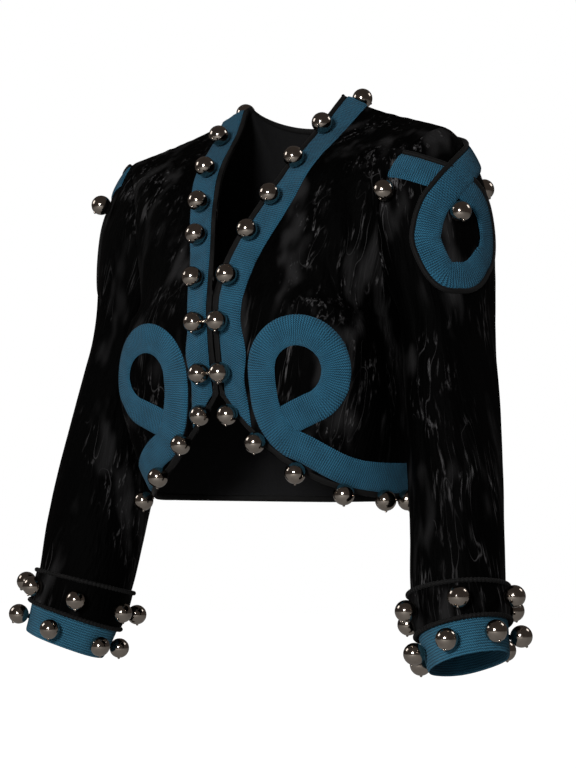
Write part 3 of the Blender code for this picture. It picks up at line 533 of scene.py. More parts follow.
def back_point(across, share):
    """The back's surface, from the centre back, 0, to the left side, 1, or to the right one, -1."""
    across, share = np.broadcast_arrays(np.asarray(across, float), np.asarray(share, float))
    half, way = np.abs(across), np.where(across < 0, -1.0, 1.0)
    row = {name: smooth(BACK_MIDDLE, name, share) for name in BACK_MIDDLE}
    row["lead"], row["tail"] = share * 0, -row["tail"]
    start = np.stack([share * 0, row["y"], row["z"]], -1)
    end = outer_edge(share, "back")
    level_row = bowed_row(start, end, row, half)
    point = towards_top(level_row, back_top, start, end, half, share)
    return point * np.stack([way, way * way, way * way], -1)


half_shares = denser_at_end(BACK_SIZE[1])
back_shares = np.concatenate([-half_shares[:0:-1], half_shares])[:, None]
back_base = back_point(back_shares, up_shares)
back_square = arrows(back_point, back_shares, up_shares, -1)
half_roll = seam_roll(back_base[len(half_shares) - 1:])
rolled = np.vstack([half_roll[:0:-1], half_roll])
depth = folded(back_base, "back") * np.clip((1 - np.abs(back_shares)) / FADE_SHARE, 0, 1)
back = cloth("velvet_back", back_base, back_square, depth - CLOTH, depth + rolled, BODY_VELVET)
fitted(back, "velvet", "back")

# The sleeves
# Each sleeve is a velvet tube set smoothly into the armhole. It hangs bent a little forwards at the
# elbow, with long creases where the empty cloth falls in.
SLEEVE_END = 0.85
SLEEVE_SIZE = 132, 60, 110
SLEEVE_TUBE = sections(
    "drop  x       y       z      wide   narrow turn",
    (0.00, 0.1955, -0.0080, -0.264, 0.0570, 0.0425, 88),
    (0.25, 0.2055, -0.0210, -0.330, 0.0560, 0.0445, 82),
    (0.45, 0.2135, -0.0310, -0.386, 0.0545, 0.0455, 68),
    (0.65, 0.2205, -0.0405, -0.442, 0.0530, 0.0445, 48),
    (0.85, 0.2275, -0.0505, -0.500, 0.0500, 0.0435, 36),
    (0.95, 0.2350, -0.0560, -0.530, 0.0480, 0.0410, 33),
    (1.06, 0.2450, -0.0620, -0.562, 0.0440, 0.0375, 33),
)


def tube_point(angle, drop, proud=0.0):
    """The left sleeve's tube: angle 0 is its outer side and 90 degrees its front."""
    angle, drop = np.broadcast_arrays(np.asarray(angle, float), np.asarray(drop, float))
    row = {name: smooth(SLEEVE_TUBE, name, drop, "drop") for name in SLEEVE_TUBE}
    centre = np.stack([row["x"], row["y"], row["z"]], -1)
    below = np.minimum(drop + 0.05, SLEEVE_TUBE["drop"][-1])
    above = np.maximum(below - 0.10, 0.0)
    ends = [np.stack([smooth(SLEEVE_TUBE, n, d, "drop") for n in "xyz"], -1) for d in (above, below)]
    axis = unit(ends[1] - ends[0])
    outside = unit(np.cross([0, 1, 0], axis))
    outside = outside * np.where(outside[..., :1] > 0, 1, -1)
    forward = np.cross(axis, outside)
    forward = forward * np.where(forward[..., 1:2] < 0, 1, -1)
    turn = np.radians(row["turn"])
    cos, sin = np.cos(turn)[..., None], np.sin(turn)[..., None]
    wide = ((row["wide"] + proud) * np.cos(angle - turn))[..., None]
    narrow = ((row["narrow"] + proud) * np.sin(angle - turn))[..., None]
    return centre + (outside * cos + forward * sin) * wide + (forward * cos - outside * sin) * narrow


def sleeve_point(angle, down):
    """The left sleeve's surface: down is 0 at the armhole, 1 at the tube and 2 at its end."""
    angle, down = np.broadcast_arrays(np.asarray(angle, float), np.asarray(down, float))
    size = np.abs(angle)
    start = np.where((angle >= 0)[..., None], armhole(size, "front"), armhole(size, "back"))
    end = tube_point(angle, 0.0)
    length = np.linalg.norm(end - start, axis=-1, keepdims=True) * 1.05
    up = (1 + np.cos(angle)) / 2
    leave = unit(np.stack([0.72 + 0.16 * up, -0.30 * np.sin(angle), up * 0 - 0.75], -1))
    arrive = unit(tube_point(angle, 0.05) - end)
    cap = curved(start, leave * length, end, arrive * length, np.minimum(down, 1)[..., None])
    tube = tube_point(angle, np.maximum(down - 1, 0) * SLEEVE_END)
    return np.where((down >= 1)[..., None], tube, cap)


# Creases of each sleeve: degrees round it and height where each starts and ends, width and depth
SLEEVE_FOLDS = {
    "left": sections(
        "a1   z1     a2   z2     width  depth",
        (86, -0.150, 96, -0.300, 0.0080, -0.0026),
        (70, -0.165, 62, -0.330, 0.0060, 0.0018),
        (100, -0.300, 84, -0.480, 0.0060, -0.0022),
        (64, -0.330, 70, -0.470, 0.0045, -0.0014),
        (40, -0.250, 34, -0.420, 0.0060, 0.0016),
        (14, -0.220, 8, -0.400, 0.0055, -0.0016),
        (50, -0.400, 44, -0.490, 0.0040, -0.0014),
        (-16, -0.240, -22, -0.440, 0.0070, 0.0018),
        (-60, -0.200, -70, -0.380, 0.0080, -0.0022),
        (-100, -0.270, -96, -0.450, 0.0080, 0.0022),
        (-140, -0.290, -130, -0.420, 0.0070, -0.0020),
        (140, -0.280, 128, -0.440, 0.0080, -0.0024),
    ),
    "right": sections(
        "a1   z1     a2   z2     width  depth",
        (92, -0.160, 100, -0.320, 0.0075, -0.0024),
        (74, -0.200, 66, -0.380, 0.0060, 0.0020),
        (52, -0.260, 58, -0.450, 0.0050, -0.0018),
        (106, -0.330, 92, -0.470, 0.0050, 0.0016),
        (28, -0.230, 22, -0.430, 0.0060, 0.0016),
        (-8, -0.200, -14, -0.390, 0.0060, -0.0018),
        (-48, -0.230, -58, -0.420, 0.0070, 0.0020),
        (-96, -0.260, -90, -0.440, 0.0080, -0.0022),
        (-138, -0.280, -146, -0.430, 0.0070, 0.0020),
        (136, -0.270, 128, -0.450, 0.0080, -0.0024),
    ),
}
SLEEVE_RADIUS = 0.049
SLEEVE_VELVET = {
    "left": [crushed_velvet("crushed_velvet_left", -0.14), REVERSE],
    "right": [crushed_velvet("crushed_velvet_right", 0.30), REVERSE],
}


def sleeve_folded(angle, points, side):
    """How far a sleeve's cloth stands out of its smooth shape."""
    z = points[..., 2]
    out = rippled(angle * SLEEVE_RADIUS, z) * np.ones(z.shape)
    for a1, z1, a2, z2, width, depth in zip(*SLEEVE_FOLDS[side].values()):
        along = (z - z1) / (z2 - z1)
        centre = np.radians(a1 + (a2 - a1) * np.clip(along, 0, 1)) + 0.06 * np.sin(along * 6 + a1)
        beside = (np.mod(angle - centre + np.pi, 2 * np.pi) - np.pi) * SLEEVE_RADIUS
        ends = np.clip(along * (1 - along) * 4, 0, 1)
        out = out + depth * ends * np.exp(-((beside / width) ** 2))
    return out


sleeve_angles = np.linspace(-np.pi, np.pi, SLEEVE_SIZE[0], endpoint=False)[:, None]
cap_downs = 1 - denser_at_end(SLEEVE_SIZE[1])[::-1]
sleeve_downs = np.concatenate([cap_downs, np.linspace(1, 2, SLEEVE_SIZE[2])[1:]])[None, :]
sleeve_base = sleeve_point(sleeve_angles, sleeve_downs)
sleeve_square = arrows(sleeve_point, sleeve_angles, np.maximum(sleeve_downs, 0.003), 1)
# At the armhole the sleeve's edge lies square to the body's cloth, so that the seam stays shut
seam_shares = UNDERARM_SHARE + (1 - UNDERARM_SHARE) * (1 - np.abs(sleeve_angles) / np.pi)
on_front, on_back = arrows(front_point, 1.0, seam_shares, 1), arrows(back_point, 1.0, seam_shares, -1)
sleeve_square[:, :1] = np.where(sleeve_angles[..., None] >= 0, on_front, on_back)
from_armhole = np.linalg.norm(sleeve_base - sleeve_base[:, :1], axis=-1)
for side, turn in (("left", 1), ("right", MIRROR)):
    depth = sleeve_folded(sleeve_angles, sleeve_base, side) * np.clip(from_armhole / 0.03, 0, 1)
    rolled = -SEAM_ROLL_DROP * np.exp(-from_armhole / SEAM_ROLL_REACH)
    sleeve = cloth(f"velvet_sleeve_{side}", sleeve_base * turn, sleeve_square * turn,
                   depth - CLOTH, depth + rolled, SLEEVE_VELVET[side], ring=True)
    fitted(sleeve, "velvet", f"sleeve_{side}")

# The velvet bands and the knit cuffs
# Each sleeve ends in a velvet band with a corded ridge sewn round both of its edges. A short cuff of
# the blue knit comes out below it and narrows to the wrist.
BAND_TOP, BAND_BOTTOM = 0.825, 0.950
CUFF_TOP, CUFF_BOTTOM = 0.930, 1.055
BAND_PROUD = CLOTH + 0.0004
RIDGE_PROUD = BAND_PROUD + 0.0006
RIDGE_RADIUS = 0.0021
RIBS_ROUND = 76
# One whole drop of the sleeve tube is this long
DROP_LENGTH = 0.27
CUFF_RADIUS = 0.0455
STITCH_WIDTH, COURSE = 0.0020, 0.0022


def knit_tape(name, dark, light):
    """Fine plain knit in dull blue wool: courses 2.2 mm apart, across the tape, in shallow waves.

    Each course is a round matt yarn, light on its back, with painted shade in the groove to the next one
    and in the cleft between wales.
    """
    made, shader = new_material(name)
    place = add(made, "ShaderNodeUVMap", uv_map="length_and_width").outputs[0]
    wander = add(made, "ShaderNodeTexNoise", {"Vector": place, "Scale": 150, "Detail": 2}).outputs["Color"]
    shift = add(made, "ShaderNodeVectorMath", {0: wander, 1: (0.0013, 0.0010, 0)}, operation="MULTIPLY")
    bent = add(made, "ShaderNodeVectorMath", {0: place, 1: shift.outputs[0]}, operation="ADD")
    split = add(made, "ShaderNodeSeparateXYZ", {0: bent.outputs[0]})
    wale = add(made, "ShaderNodeMath", {0: split.outputs[1], 1: 1 / STITCH_WIDTH}, operation="MULTIPLY")
    leg = add(made, "ShaderNodeMath", {0: wale.outputs[0], 1: 0.5}, operation="PINGPONG")
    slant = add(made, "ShaderNodeMath", {0: leg.outputs[0], 1: 1.1}, operation="MULTIPLY")
    slanted = {0: split.outputs[0], 1: 1 / COURSE, 2: slant.outputs[0]}
    course = add(made, "ShaderNodeMath", slanted, operation="MULTIPLY_ADD")
    course = add(made, "ShaderNodeMath", {0: course.outputs[0], 1: 0.5}, operation="PINGPONG")
    round_back = {0: course.outputs[0], 1: 0.03, 2: 0.36}
    yarn = add(made, "ShaderNodeMapRange", round_back, interpolation_type="SMOOTHSTEP")
    cleft = {0: leg.outputs[0], 1: 0.0, 2: 0.16, 3: 0.72, 4: 1.0}
    between = add(made, "ShaderNodeMapRange", cleft, interpolation_type="SMOOTHSTEP")
    height = add(made, "ShaderNodeMath", {0: yarn.outputs[0], 1: between.outputs[0]}, operation="MULTIPLY")
    height = height.outputs[0]
    # Wool is never dyed quite level: it varies over 1 mm and over 20 mm
    fleck = add(made, "ShaderNodeTexNoise", {"Vector": place, "Scale": 900, "Detail": 2}).outputs["Fac"]
    cloud = add(made, "ShaderNodeTexNoise", {"Vector": place, "Scale": 48, "Detail": 1}).outputs["Fac"]
    tone_and_painted_shade = add(made, "ShaderNodeMath", {0: fleck, 1: cloud}, operation="ADD").outputs[0]
    tone_and_painted_shade = add(made, "ShaderNodeMath", {0: tone_and_painted_shade, 1: 0.5, 2: -0.42}, operation="MULTIPLY_ADD").outputs[0]
    # The yarn's height darkens the grooves and clefts: painted shade, laid over the dye's uneven tone
    tone_and_painted_shade = add(made, "ShaderNodeMath", {0: height, 1: 0.88, 2: tone_and_painted_shade}, operation="MULTIPLY_ADD").outputs[0]
    colour = add(made, "ShaderNodeMix", {0: tone_and_painted_shade, 6: linear(dark), 7: linear(light)}, data_type="RGBA")
    bump = add(made, "ShaderNodeBump", {"Height": height, "Strength": 0.8, "Distance": 0.0007})
    set_inputs(made, shader, {
        "Base Color": colour.outputs[2],
        "Normal": bump.outputs[0],
        "Roughness": 0.9,
        "Specular IOR Level": 0.12,
        "Sheen Weight": 0.04,
        "Sheen Roughness": 0.5,
    })
    return made


def black_binding():
    """Black binding: a bias strip of fine matt cloth, folded over the edge and pulled firm."""
    made, shader = new_material("black_binding")
    place = add(made, "ShaderNodeTexCoord").outputs["Object"]
    # Threads are 0.3 mm apart, drawn at 0.8 mm so that they show
    weave = add(made, "ShaderNodeTexNoise", {"Vector": place, "Scale": 1200, "Detail": 1}).outputs["Fac"]
    pull = add(made, "ShaderNodeTexNoise", {"Vector": place, "Scale": 130, "Detail": 2}).outputs["Fac"]
    shades = {0: pull, 6: linear("#030303"), 7: linear("#0c0b0b")}
    colour = add(made, "ShaderNodeMix", shades, data_type="RGBA")
    relief = add(made, "ShaderNodeMath", {0: pull, 1: 3.0, 2: weave}, operation="MULTIPLY_ADD")
    bump = add(made, "ShaderNodeBump", {"Height": relief.outputs[0], "Strength": 0.5, "Distance": 0.0004})
    set_inputs(made, shader, {
        "Base Color": colour.outputs[2],
        "Normal": bump.outputs[0],
        "Roughness": 0.74,
        "Specular IOR Level": 0.16,
        "Sheen Weight": 0.02,
    })
    return made


TAPE_KNIT = knit_tape("blue_knit_tape", "#07161f", "#2b627d")
CUFF_KNIT = knit_tape("blue_knit_cuff", "#0d2530", "#336a84")
BINDING = black_binding()


def tube(name, line, sides, radius, material, closed=False):
    """A round cord along a line of points, capped at its ends or joined into a ring."""
    radius = np.broadcast_to(radius, len(line))[:, None, None]
    along = np.gradient(line, axis=0)
    if closed:
        along = np.roll(line, -1, axis=0) - np.roll(line, 1, axis=0)
    along = unit(along)
    beside = unit(np.cross(along, sides))
    around = np.linspace(0, 2 * np.pi, 10, endpoint=False)[None, :, None]
    ring = line[:, None] + radius * (np.cos(around) * beside[:, None] + np.sin(around) * sides[:, None])
    return rings(name, ring, material, closed)


def rings(name, ring, material, closed=False):
    """A closed surface through a row of rings of points."""
    stations, sides = ring.shape[:2]
    index = np.arange(stations * sides).reshape(stations, sides)
    index = np.hstack([index, index[:, :1]])
    if closed:
        index = np.vstack([index, index[:1]])
    quads = np.stack([index[:-1, :-1], index[:-1, 1:], index[1:, 1:], index[1:, :-1]], -1)
    faces = quads.reshape(-1, 4).tolist()
    if not closed:
        faces += [index[0, :-1][::-1].tolist(), index[-1, :-1].tolist()]
    piece = new_piece(name, ring.reshape(-1, 3), faces, material)
    a, b, c = ring[0, 0], ring[0, 1], ring[1, 0]
    if np.dot(np.cross(b - a, c - a), a - ring[0].mean(0)) < 0:
        piece.data.flip_normals()
    return piece


def band_point(angle, drop):
    """The left band's surface, a little proud of the sleeve's."""
    return tube_point(angle, drop, BAND_PROUD)


ring_angles = np.linspace(-np.pi, np.pi, 120, endpoint=False)[:, None]
ridge_angles = np.linspace(-np.pi, np.pi, 480, endpoint=False)
for side, turn in (("left", 1), ("right", MIRROR)):
    drops = np.linspace(BAND_TOP, BAND_BOTTOM, 26)[None, :]
    points = band_point(ring_angles, drops) * turn
    square = arrows(band_point, ring_angles, drops, 1) * turn
    swell = 0.0010 * np.sin(np.pi * (drops - BAND_TOP) / (BAND_BOTTOM - BAND_TOP))
    swell = swell + rippled(ring_angles * SLEEVE_RADIUS, points[..., 2])
    band = cloth(f"velvet_band_{side}", points, square, -CLOTH, swell, SLEEVE_VELVET[side], ring=True)
    fitted(band, "velvet", f"velvet_band_{side}")
    for end, drop in (("upper", BAND_TOP + 0.004), ("lower", BAND_BOTTOM - 0.004)):
        line = tube_point(ridge_angles, drop, RIDGE_PROUD) * turn
        sides = arrows(band_point, ridge_angles, drop, 1) * turn
        radius = RIDGE_RADIUS * (1 + 0.16 * np.sin(ridge_angles * RIBS_ROUND))
        fitted(tube(f"{end}_ridge_{side}", line, sides, radius, BINDING, closed=True), "binding")
    drops = np.linspace(CUFF_TOP, CUFF_BOTTOM, 30)[None, :]
    points = tube_point(ring_angles, drops) * turn
    square = arrows(tube_point, ring_angles, drops, 1) * turn
    from_mouth = (CUFF_BOTTOM - drops) / (CUFF_BOTTOM - CUFF_TOP)
    lip = 0.0009 * np.exp(-from_mouth * 26)
    slack = 0.0005 * np.sin(ring_angles * 5 + from_mouth * 4) * (1 - from_mouth)
    length = (drops - CUFF_TOP) * DROP_LENGTH + ring_angles * 0
    width = np.vstack([ring_angles, [[np.pi]]]) * CUFF_RADIUS
    uv = np.stack(np.broadcast_arrays(np.vstack([length, length[:1]]), width), -1)
    cuff = cloth(f"knit_cuff_{side}", points, square, slack - CLOTH + lip, slack - lip,
                 [CUFF_KNIT], ring=True, uv=uv)
    fitted(cuff, "knit_tape", f"knit_cuff_{side}")

# The binding
# One strip of black cloth is folded round the jacket's whole edge: up both fronts, round the neck,
# and round the hem. It is sewn down 7 mm in, and pulled firm enough to stand up like a cord.
BINDING_WIDTH = 0.007
BINDING_THICKNESS = 0.0038
BINDING_CLOTH = 0.0006


def walked(line):
    """How far along a line of points each of them is."""
    return np.concatenate([[0], np.cumsum(np.linalg.norm(np.diff(line, axis=0), axis=1))])


def resampled(line, count):
    """Points at even steps along a line of points."""
    so_far = walked(line)
    at = np.linspace(0, so_far[-1], count)
    return np.stack([np.interp(at, so_far, line[:, k]) for k in range(line.shape[1])], -1)


def softened(rows, reach):
    """Rows of a closed loop, each averaged with its neighbours on both sides."""
    return sum(np.roll(rows, k, axis=0) for k in range(-reach, reach + 1)) / (2 * reach + 1)


def edge_rows(surface, a, b, inner_a, inner_b, outside):
    """Places on an edge with the arrows that point in from it over the cloth and out of it."""
    a, b = np.broadcast_arrays(np.asarray(a, float), np.asarray(b, float))
    edge = surface(a, b)
    inner = surface(a + inner_a, b + inner_b)
    return np.hstack([edge, unit(inner - edge), arrows(surface, a, b, outside)])


steps = np.linspace(0, 1, 160)
left_half = np.vstack([
    edge_rows(back_point, steps * BACK_NECK_SHARE, 1.0, 0, -0.02, -1),
    edge_rows(front_point, 0.0, steps[::-1], 0.02, 0, 1)[1:],
    edge_rows(front_point, steps, 0.0, 0, 0.02, 1)[1:],
    edge_rows(back_point, steps[::-1], 0.0, 0, 0.02, -1)[1:],
])
mirrored = left_half[::-1] * np.tile(MIRROR, 3)
loop = softened(resampled(np.vstack([left_half, mirrored[1:]]), 901)[:-1], 2)
edge, inward, square = loop[:, :3], unit(softened(loop[:, 3:6], 3)), unit(softened(loop[:, 6:], 3))
# The strip's section: from its sewn edge on the outside, round the jacket's edge, to the inside
bend = np.radians(np.linspace(25, 335, 13))
bend_in, bend_out = np.cos(bend), np.sin(bend)
bend_in = np.sign(bend_in) * np.abs(bend_in) ** 0.75
bend_out = np.sign(bend_out) * np.abs(bend_out) ** 0.75
puckers = np.sin(np.arange(len(edge)) * 0.9) * np.sin(np.arange(len(edge)) * 0.23)
core = edge + inward * BINDING_WIDTH / 2 - square * CLOTH / 2
sections_of_strip = []
for thinner in (0.0, BINDING_CLOTH):
    half_width = BINDING_WIDTH / 2 - thinner
    half_height = (BINDING_THICKNESS / 2 - thinner) * (1 + 0.07 * puckers)[:, None]
    sections_of_strip.append(
        core[:, None]
        + inward[:, None] * (bend_in * half_width)[None, :, None]
        + square[:, None] * (bend_out * half_height)[..., None]
    )
profile = np.concatenate([sections_of_strip[0], sections_of_strip[1][:, ::-1]], axis=1)
binding = rings("edge_binding", profile, BINDING, closed=True)
fitted(binding, "binding", "front_binding_left", "front_binding_right", "back_neck_binding",
       "back_hem_binding")

# The edge tape
# Blue knit tape is laid flat beside the binding and sewn down along both of its edges. It runs up
# both fronts, round the back of the neck and round the hem, and waves a little at the closures.
TAPE_WIDTH = 0.028
TAPE_THICKNESS = 0.0016
TAPE_LIFT = 0.0003
TAPE_COLUMNS = 15
# The table of distances that the edge tape is found in: places across the front, and up it
TABLE_SIZE = 110, 150
TAPE_WIDTHS = sections(
    "z width",
    (-0.330, 0.0285),
    (-0.303, 0.0270),
    (-0.281, 0.0245),
    (-0.258, 0.0285),
    (-0.232, 0.0245),
    (-0.205, 0.0262),
    (-0.150, 0.0278),
    (-0.020, 0.0285),
    (0.020, 0.0285),
)


def distance_from(points, line):
    """The shortest distance from each point to a line of points."""
    flat = points.reshape(-1, 1, 3)
    a, b = line[:-1], line[1:]
    along = np.clip(((flat - a) * (b - a)).sum(-1) / ((b - a) ** 2).sum(-1), 0, 1)
    near = np.linalg.norm(a + (b - a) * along[..., None] - flat, axis=-1).min(1)
    return near.reshape(points.shape[:-1])


def tape(name, points, square, depth, raised=0.0):
    """A knit tape over a grid of points, whose first way runs across it and second along it."""
    t = np.linspace(-1, 1, points.shape[0])[:, None]
    top = TAPE_THICKNESS * (1 - np.abs(t) ** 6) ** 0.5
    lift = TAPE_LIFT + raised
    length = walked(points[points.shape[0] // 2])[None, :] + t * 0
    across = np.linalg.norm(np.diff(points, axis=0), axis=-1).mean()
    width = np.arange(points.shape[0])[:, None] * across + length * 0
    uv = np.stack([length, width], -1)
    low, high = depth + lift * 0.3, depth + lift + top
    return cloth(name, points, square, low, high, [TAPE_KNIT], uv=uv)


free_edge = front_point(0, np.linspace(0, 1, 121))
free_edge = np.vstack([free_edge[0] - [0, 0, 0.2], free_edge])
front_hem = front_point(np.linspace(0, 1, 121), 0)
table_across, table_share = np.linspace(0, 0.75, TABLE_SIZE[0]), np.linspace(0, 1, TABLE_SIZE[1])
table_points = front_point(table_across[:, None], table_share[None, :])
in_from_edge = distance_from(table_points, free_edge)
up_from_hem = distance_from(table_points, front_hem)
shares_of_width = np.linspace(0, 1, TAPE_COLUMNS)
lines = []
for share_of_width in shares_of_width:
    heights = front_point(0.05, table_share)[:, 2]
    inset = BINDING_WIDTH + share_of_width * smooth(TAPE_WIDTHS, "width", heights, "z")
    across = np.array([np.interp(at, row, table_across) for at, row in zip(inset, in_from_edge.T)])
    over_hem = np.array([np.interp(at, table_across, row) for at, row in zip(across, up_from_hem.T)])
    start = np.interp(BINDING_WIDTH - 0.001, over_hem[:60], table_share[:60])
    share = start + (1 - start) * table_share
    lines.append(np.stack([np.interp(share, table_share, across), share], -1))
places = np.array(lines)
tape_base = front_point(places[..., 0], places[..., 1])
tape_square = arrows(front_point, places[..., 0], places[..., 1], 1)
for side, turn in (("left", 1), ("right", MIRROR)):
    depth = folded(tape_base * turn, f"front_{side}")
    strip = tape(f"front_edge_tape_{side}", tape_base * turn, tape_square * turn, depth)
    fitted(strip, "knit_tape", f"front_edge_tape_{side}")


def back_tape(name, halves):
    """A tape on the back, from lines of places on its left half, which the right half repeats."""
    lines = []
    for across, share in halves:
        across = np.concatenate([-across[:0:-1], across])
        lines.append(np.stack([across, np.concatenate([share[:0:-1], share])], -1))
    places = np.array(lines)
    points = back_point(places[..., 0], places[..., 1])
    square = arrows(back_point, places[..., 0], places[..., 1], -1)
    strip = tape(name, points, square, folded(points, "back"))
    fitted(strip, "knit_tape", name)


insets = BINDING_WIDTH + shares_of_width * TAPE_WIDTH
neck_line = back_top(np.linspace(0, BACK_NECK_SHARE, 61))
neck_line = np.vstack([neck_line[:0:-1] * MIRROR, neck_line])
table_across, table_drop = np.linspace(0, 0.75, 90), np.linspace(0, 0.3, 80)
below_neck = distance_from(back_point(table_across[:, None], 1 - table_drop[None, :]), neck_line)
halves = []
for inset in insets:
    end = np.interp(inset, below_neck[30:, 0], table_across[30:])
    across = np.linspace(0, end, 50)
    drop = np.array([np.interp(inset, row, table_drop) for row in below_neck])
    halves.append((across, 1 - np.interp(across, table_across, drop)))
back_tape("back_neck_tape", halves)

back_hem = back_point(np.linspace(-1, 1, 161), 0)
across = np.linspace(0, 1, 90)
table_share = np.linspace(0, 0.25, 60)
over_hem = distance_from(back_point(across[:, None], table_share[None, :]), back_hem)
shares = [np.array([np.interp(inset, row, table_share) for row in over_hem]) for inset in insets]
back_tape("back_hem_tape", [(across, share) for share in shares])

# The looped tape on each front
# The hem's tape comes forwards from the side seam, turns up beside the edge tape, makes one round
# loop and ends under its own left strand. It is a common braid loop of such jackets.
LOOP_TAPE_WIDTH = 0.030
LOOP_CENTRE_X, LOOP_CENTRE_Z, LOOP_RADIUS = 0.0905, -0.2825, 0.0385
LOOP_CROSSING = np.array([0.060, -0.331])
LOOP_RISE = sections(
    "x z",
    (0.0890, -0.3585),
    (0.0710, -0.3480),
    (0.0590, -0.3310),
    (0.0535, -0.3120),
    (0.0520, -0.2960),
)
LOOP_FINISH = sections(
    "x z",
    (0.0830, -0.3270),
    (0.0670, -0.3340),
)


def nearest_place(surface, target, a, b):
    """The places on a surface that lie nearest to some points, found from places close by."""
    step = 0.001
    for _ in range(4):
        here = surface(a, b)
        by_a = (surface(a + step, b) - here) / step
        by_b = (surface(a, b + step) - here) / step
        gap = target - here
        aa, ab, bb = (by_a * by_a).sum(-1), (by_a * by_b).sum(-1), (by_b * by_b).sum(-1)
        ga, gb = (gap * by_a).sum(-1), (gap * by_b).sum(-1)
        whole = aa * bb - ab * ab
        a = a + (ga * bb - gb * ab) / whole
        b = b + (gb * aa - ga * ab) / whole
    return a, b


def smooth_line(points, count):
    """Evenly spaced places on a smooth line through a few places."""
    points = np.array(points, float)
    so_far = walked(points)
    table = {"share": so_far, "a": points[:, 0], "b": points[:, 1]}
    at = np.linspace(0, so_far[-1], count)
    return np.stack([smooth(table, "a", at), smooth(table, "b", at)], -1)


def ribbon_places(surface, path, width, outside):
    """Places on both sides of a path on a surface, square to it, as a tape of that width covers."""
    a, b = path[:, 0], path[:, 1]
    centre = surface(a, b)
    beside = unit(np.cross(arrows(surface, a, b, outside), np.gradient(centre, axis=0)))
    t = np.linspace(-0.5, 0.5, TAPE_COLUMNS)[:, None, None]
    target = centre[None] + beside[None] * t * width
    return nearest_place(surface, target, *(np.tile(v, (TAPE_COLUMNS, 1)) for v in (a, b)))


def front_place(x, z):
    """The place on the front that has a given x and z."""
    a, b = np.array(x) / 0.2, np.full(len(x), 0.2)
    step = 0.01
    for _ in range(12):
        here = front_point(a, b)
        by_a = (front_point(a + step, b) - here) / step
        by_b = (front_point(a, b + step) - here) / step
        dx, dz = x - here[:, 0], z - here[:, 2]
        whole = by_a[:, 0] * by_b[:, 2] - by_b[:, 0] * by_a[:, 2]
        a = a + np.clip((dx * by_b[:, 2] - dz * by_b[:, 0]) / whole, -0.1, 0.1)
        b = b + np.clip((dz * by_a[:, 0] - dx * by_a[:, 2]) / whole, -0.1, 0.1)
    return np.stack([a, b], -1)


hem_across = np.array([1.0, 0.93, 0.86, 0.78, 0.70, 0.62])
up_hem = np.linspace(0, 0.4, 80)
over_hem = distance_from(front_point(hem_across[:, None], up_hem[None, :]), front_hem)
middle = BINDING_WIDTH + TAPE_LIFT + TAPE_WIDTH / 2
hem_share = [np.interp(middle, row, up_hem) for row in over_hem]
turns = np.radians(np.arange(180, -76, -15))
round_x = LOOP_CENTRE_X + LOOP_RADIUS * np.cos(turns)
round_z = LOOP_CENTRE_Z + LOOP_RADIUS * np.sin(turns)
loop_x = np.concatenate([LOOP_RISE["x"], round_x, LOOP_FINISH["x"]])
loop_z = np.concatenate([LOOP_RISE["z"], round_z, LOOP_FINISH["z"]])
path = np.vstack([np.stack([hem_across, hem_share], -1), front_place(loop_x, loop_z)])
path = smooth_line(smooth_line(path, 48), 300)
a, b = ribbon_places(front_point, path, LOOP_TAPE_WIDTH, 1)
loop_base, loop_square = front_point(a, b), arrows(front_point, a, b, 1)
centre = front_point(path[:, 0], path[:, 1])
near = np.linalg.norm(centre[:, [0, 2]] - LOOP_CROSSING, axis=-1)
over = eased(1.5 - near / 0.024) * (np.arange(len(path)) < len(path) * 0.6)
over = (over * TAPE_THICKNESS)[None, :]
for side, turn in (("left", 1), ("right", MIRROR)):
    depth = folded(loop_base * turn, f"front_{side}") * 0.5
    strip = tape(f"front_loop_{side}", loop_base * turn, loop_square * turn, depth, raised=over)
    fitted(strip, "knit_tape", f"front_loop_tape_{side}")

# The looped tape on each sleeve cap
# A second length of tape comes out of the front armhole seam, turns once round the outside of the
# shoulder and goes over itself into the back armhole seam. Its outer edge has a black corded rim.
SHOULDER_TAPE_WIDTH = 0.027
RIM_RADIUS = 0.0026
# How far down the cap, as a share of it, the tape comes out of the armhole seam
TAPE_START = 0.004
SHOULDER_LOOP = sections(
    "around z",
    (62, -0.076),
    (52, -0.081),
    (38, -0.090),
    (22, -0.100),
    (6, -0.112),
    (-4, -0.130),
    (-7, -0.153),
    (6, -0.178),
    (30, -0.192),
    (50, -0.183),
    (55, -0.161),
    (45, -0.133),
    (28, -0.108),
    (8, -0.086),
    (-12, -0.071),
    (-28, -0.061),
    (-40, -0.054),
)
# How far each side's loop sits round from there, in degrees, and up: the right one is further back
SHOULDER_LOOP_SHIFT = {"left": (4, 0.0), "right": (-32, 0.018)}


def cap_places(around, heights):
    """The places on the sleeve cap at some angles, in radians, and heights."""
    low, high = np.full(len(around), -0.15), np.full(len(around), 1.0)
    for _ in range(24):
        middle = (low + high) / 2
        above = sleeve_point(around, middle)[:, 2] > heights
        low, high = np.where(above, middle, low), np.where(above, high, middle)
    return np.stack([around, low], -1)


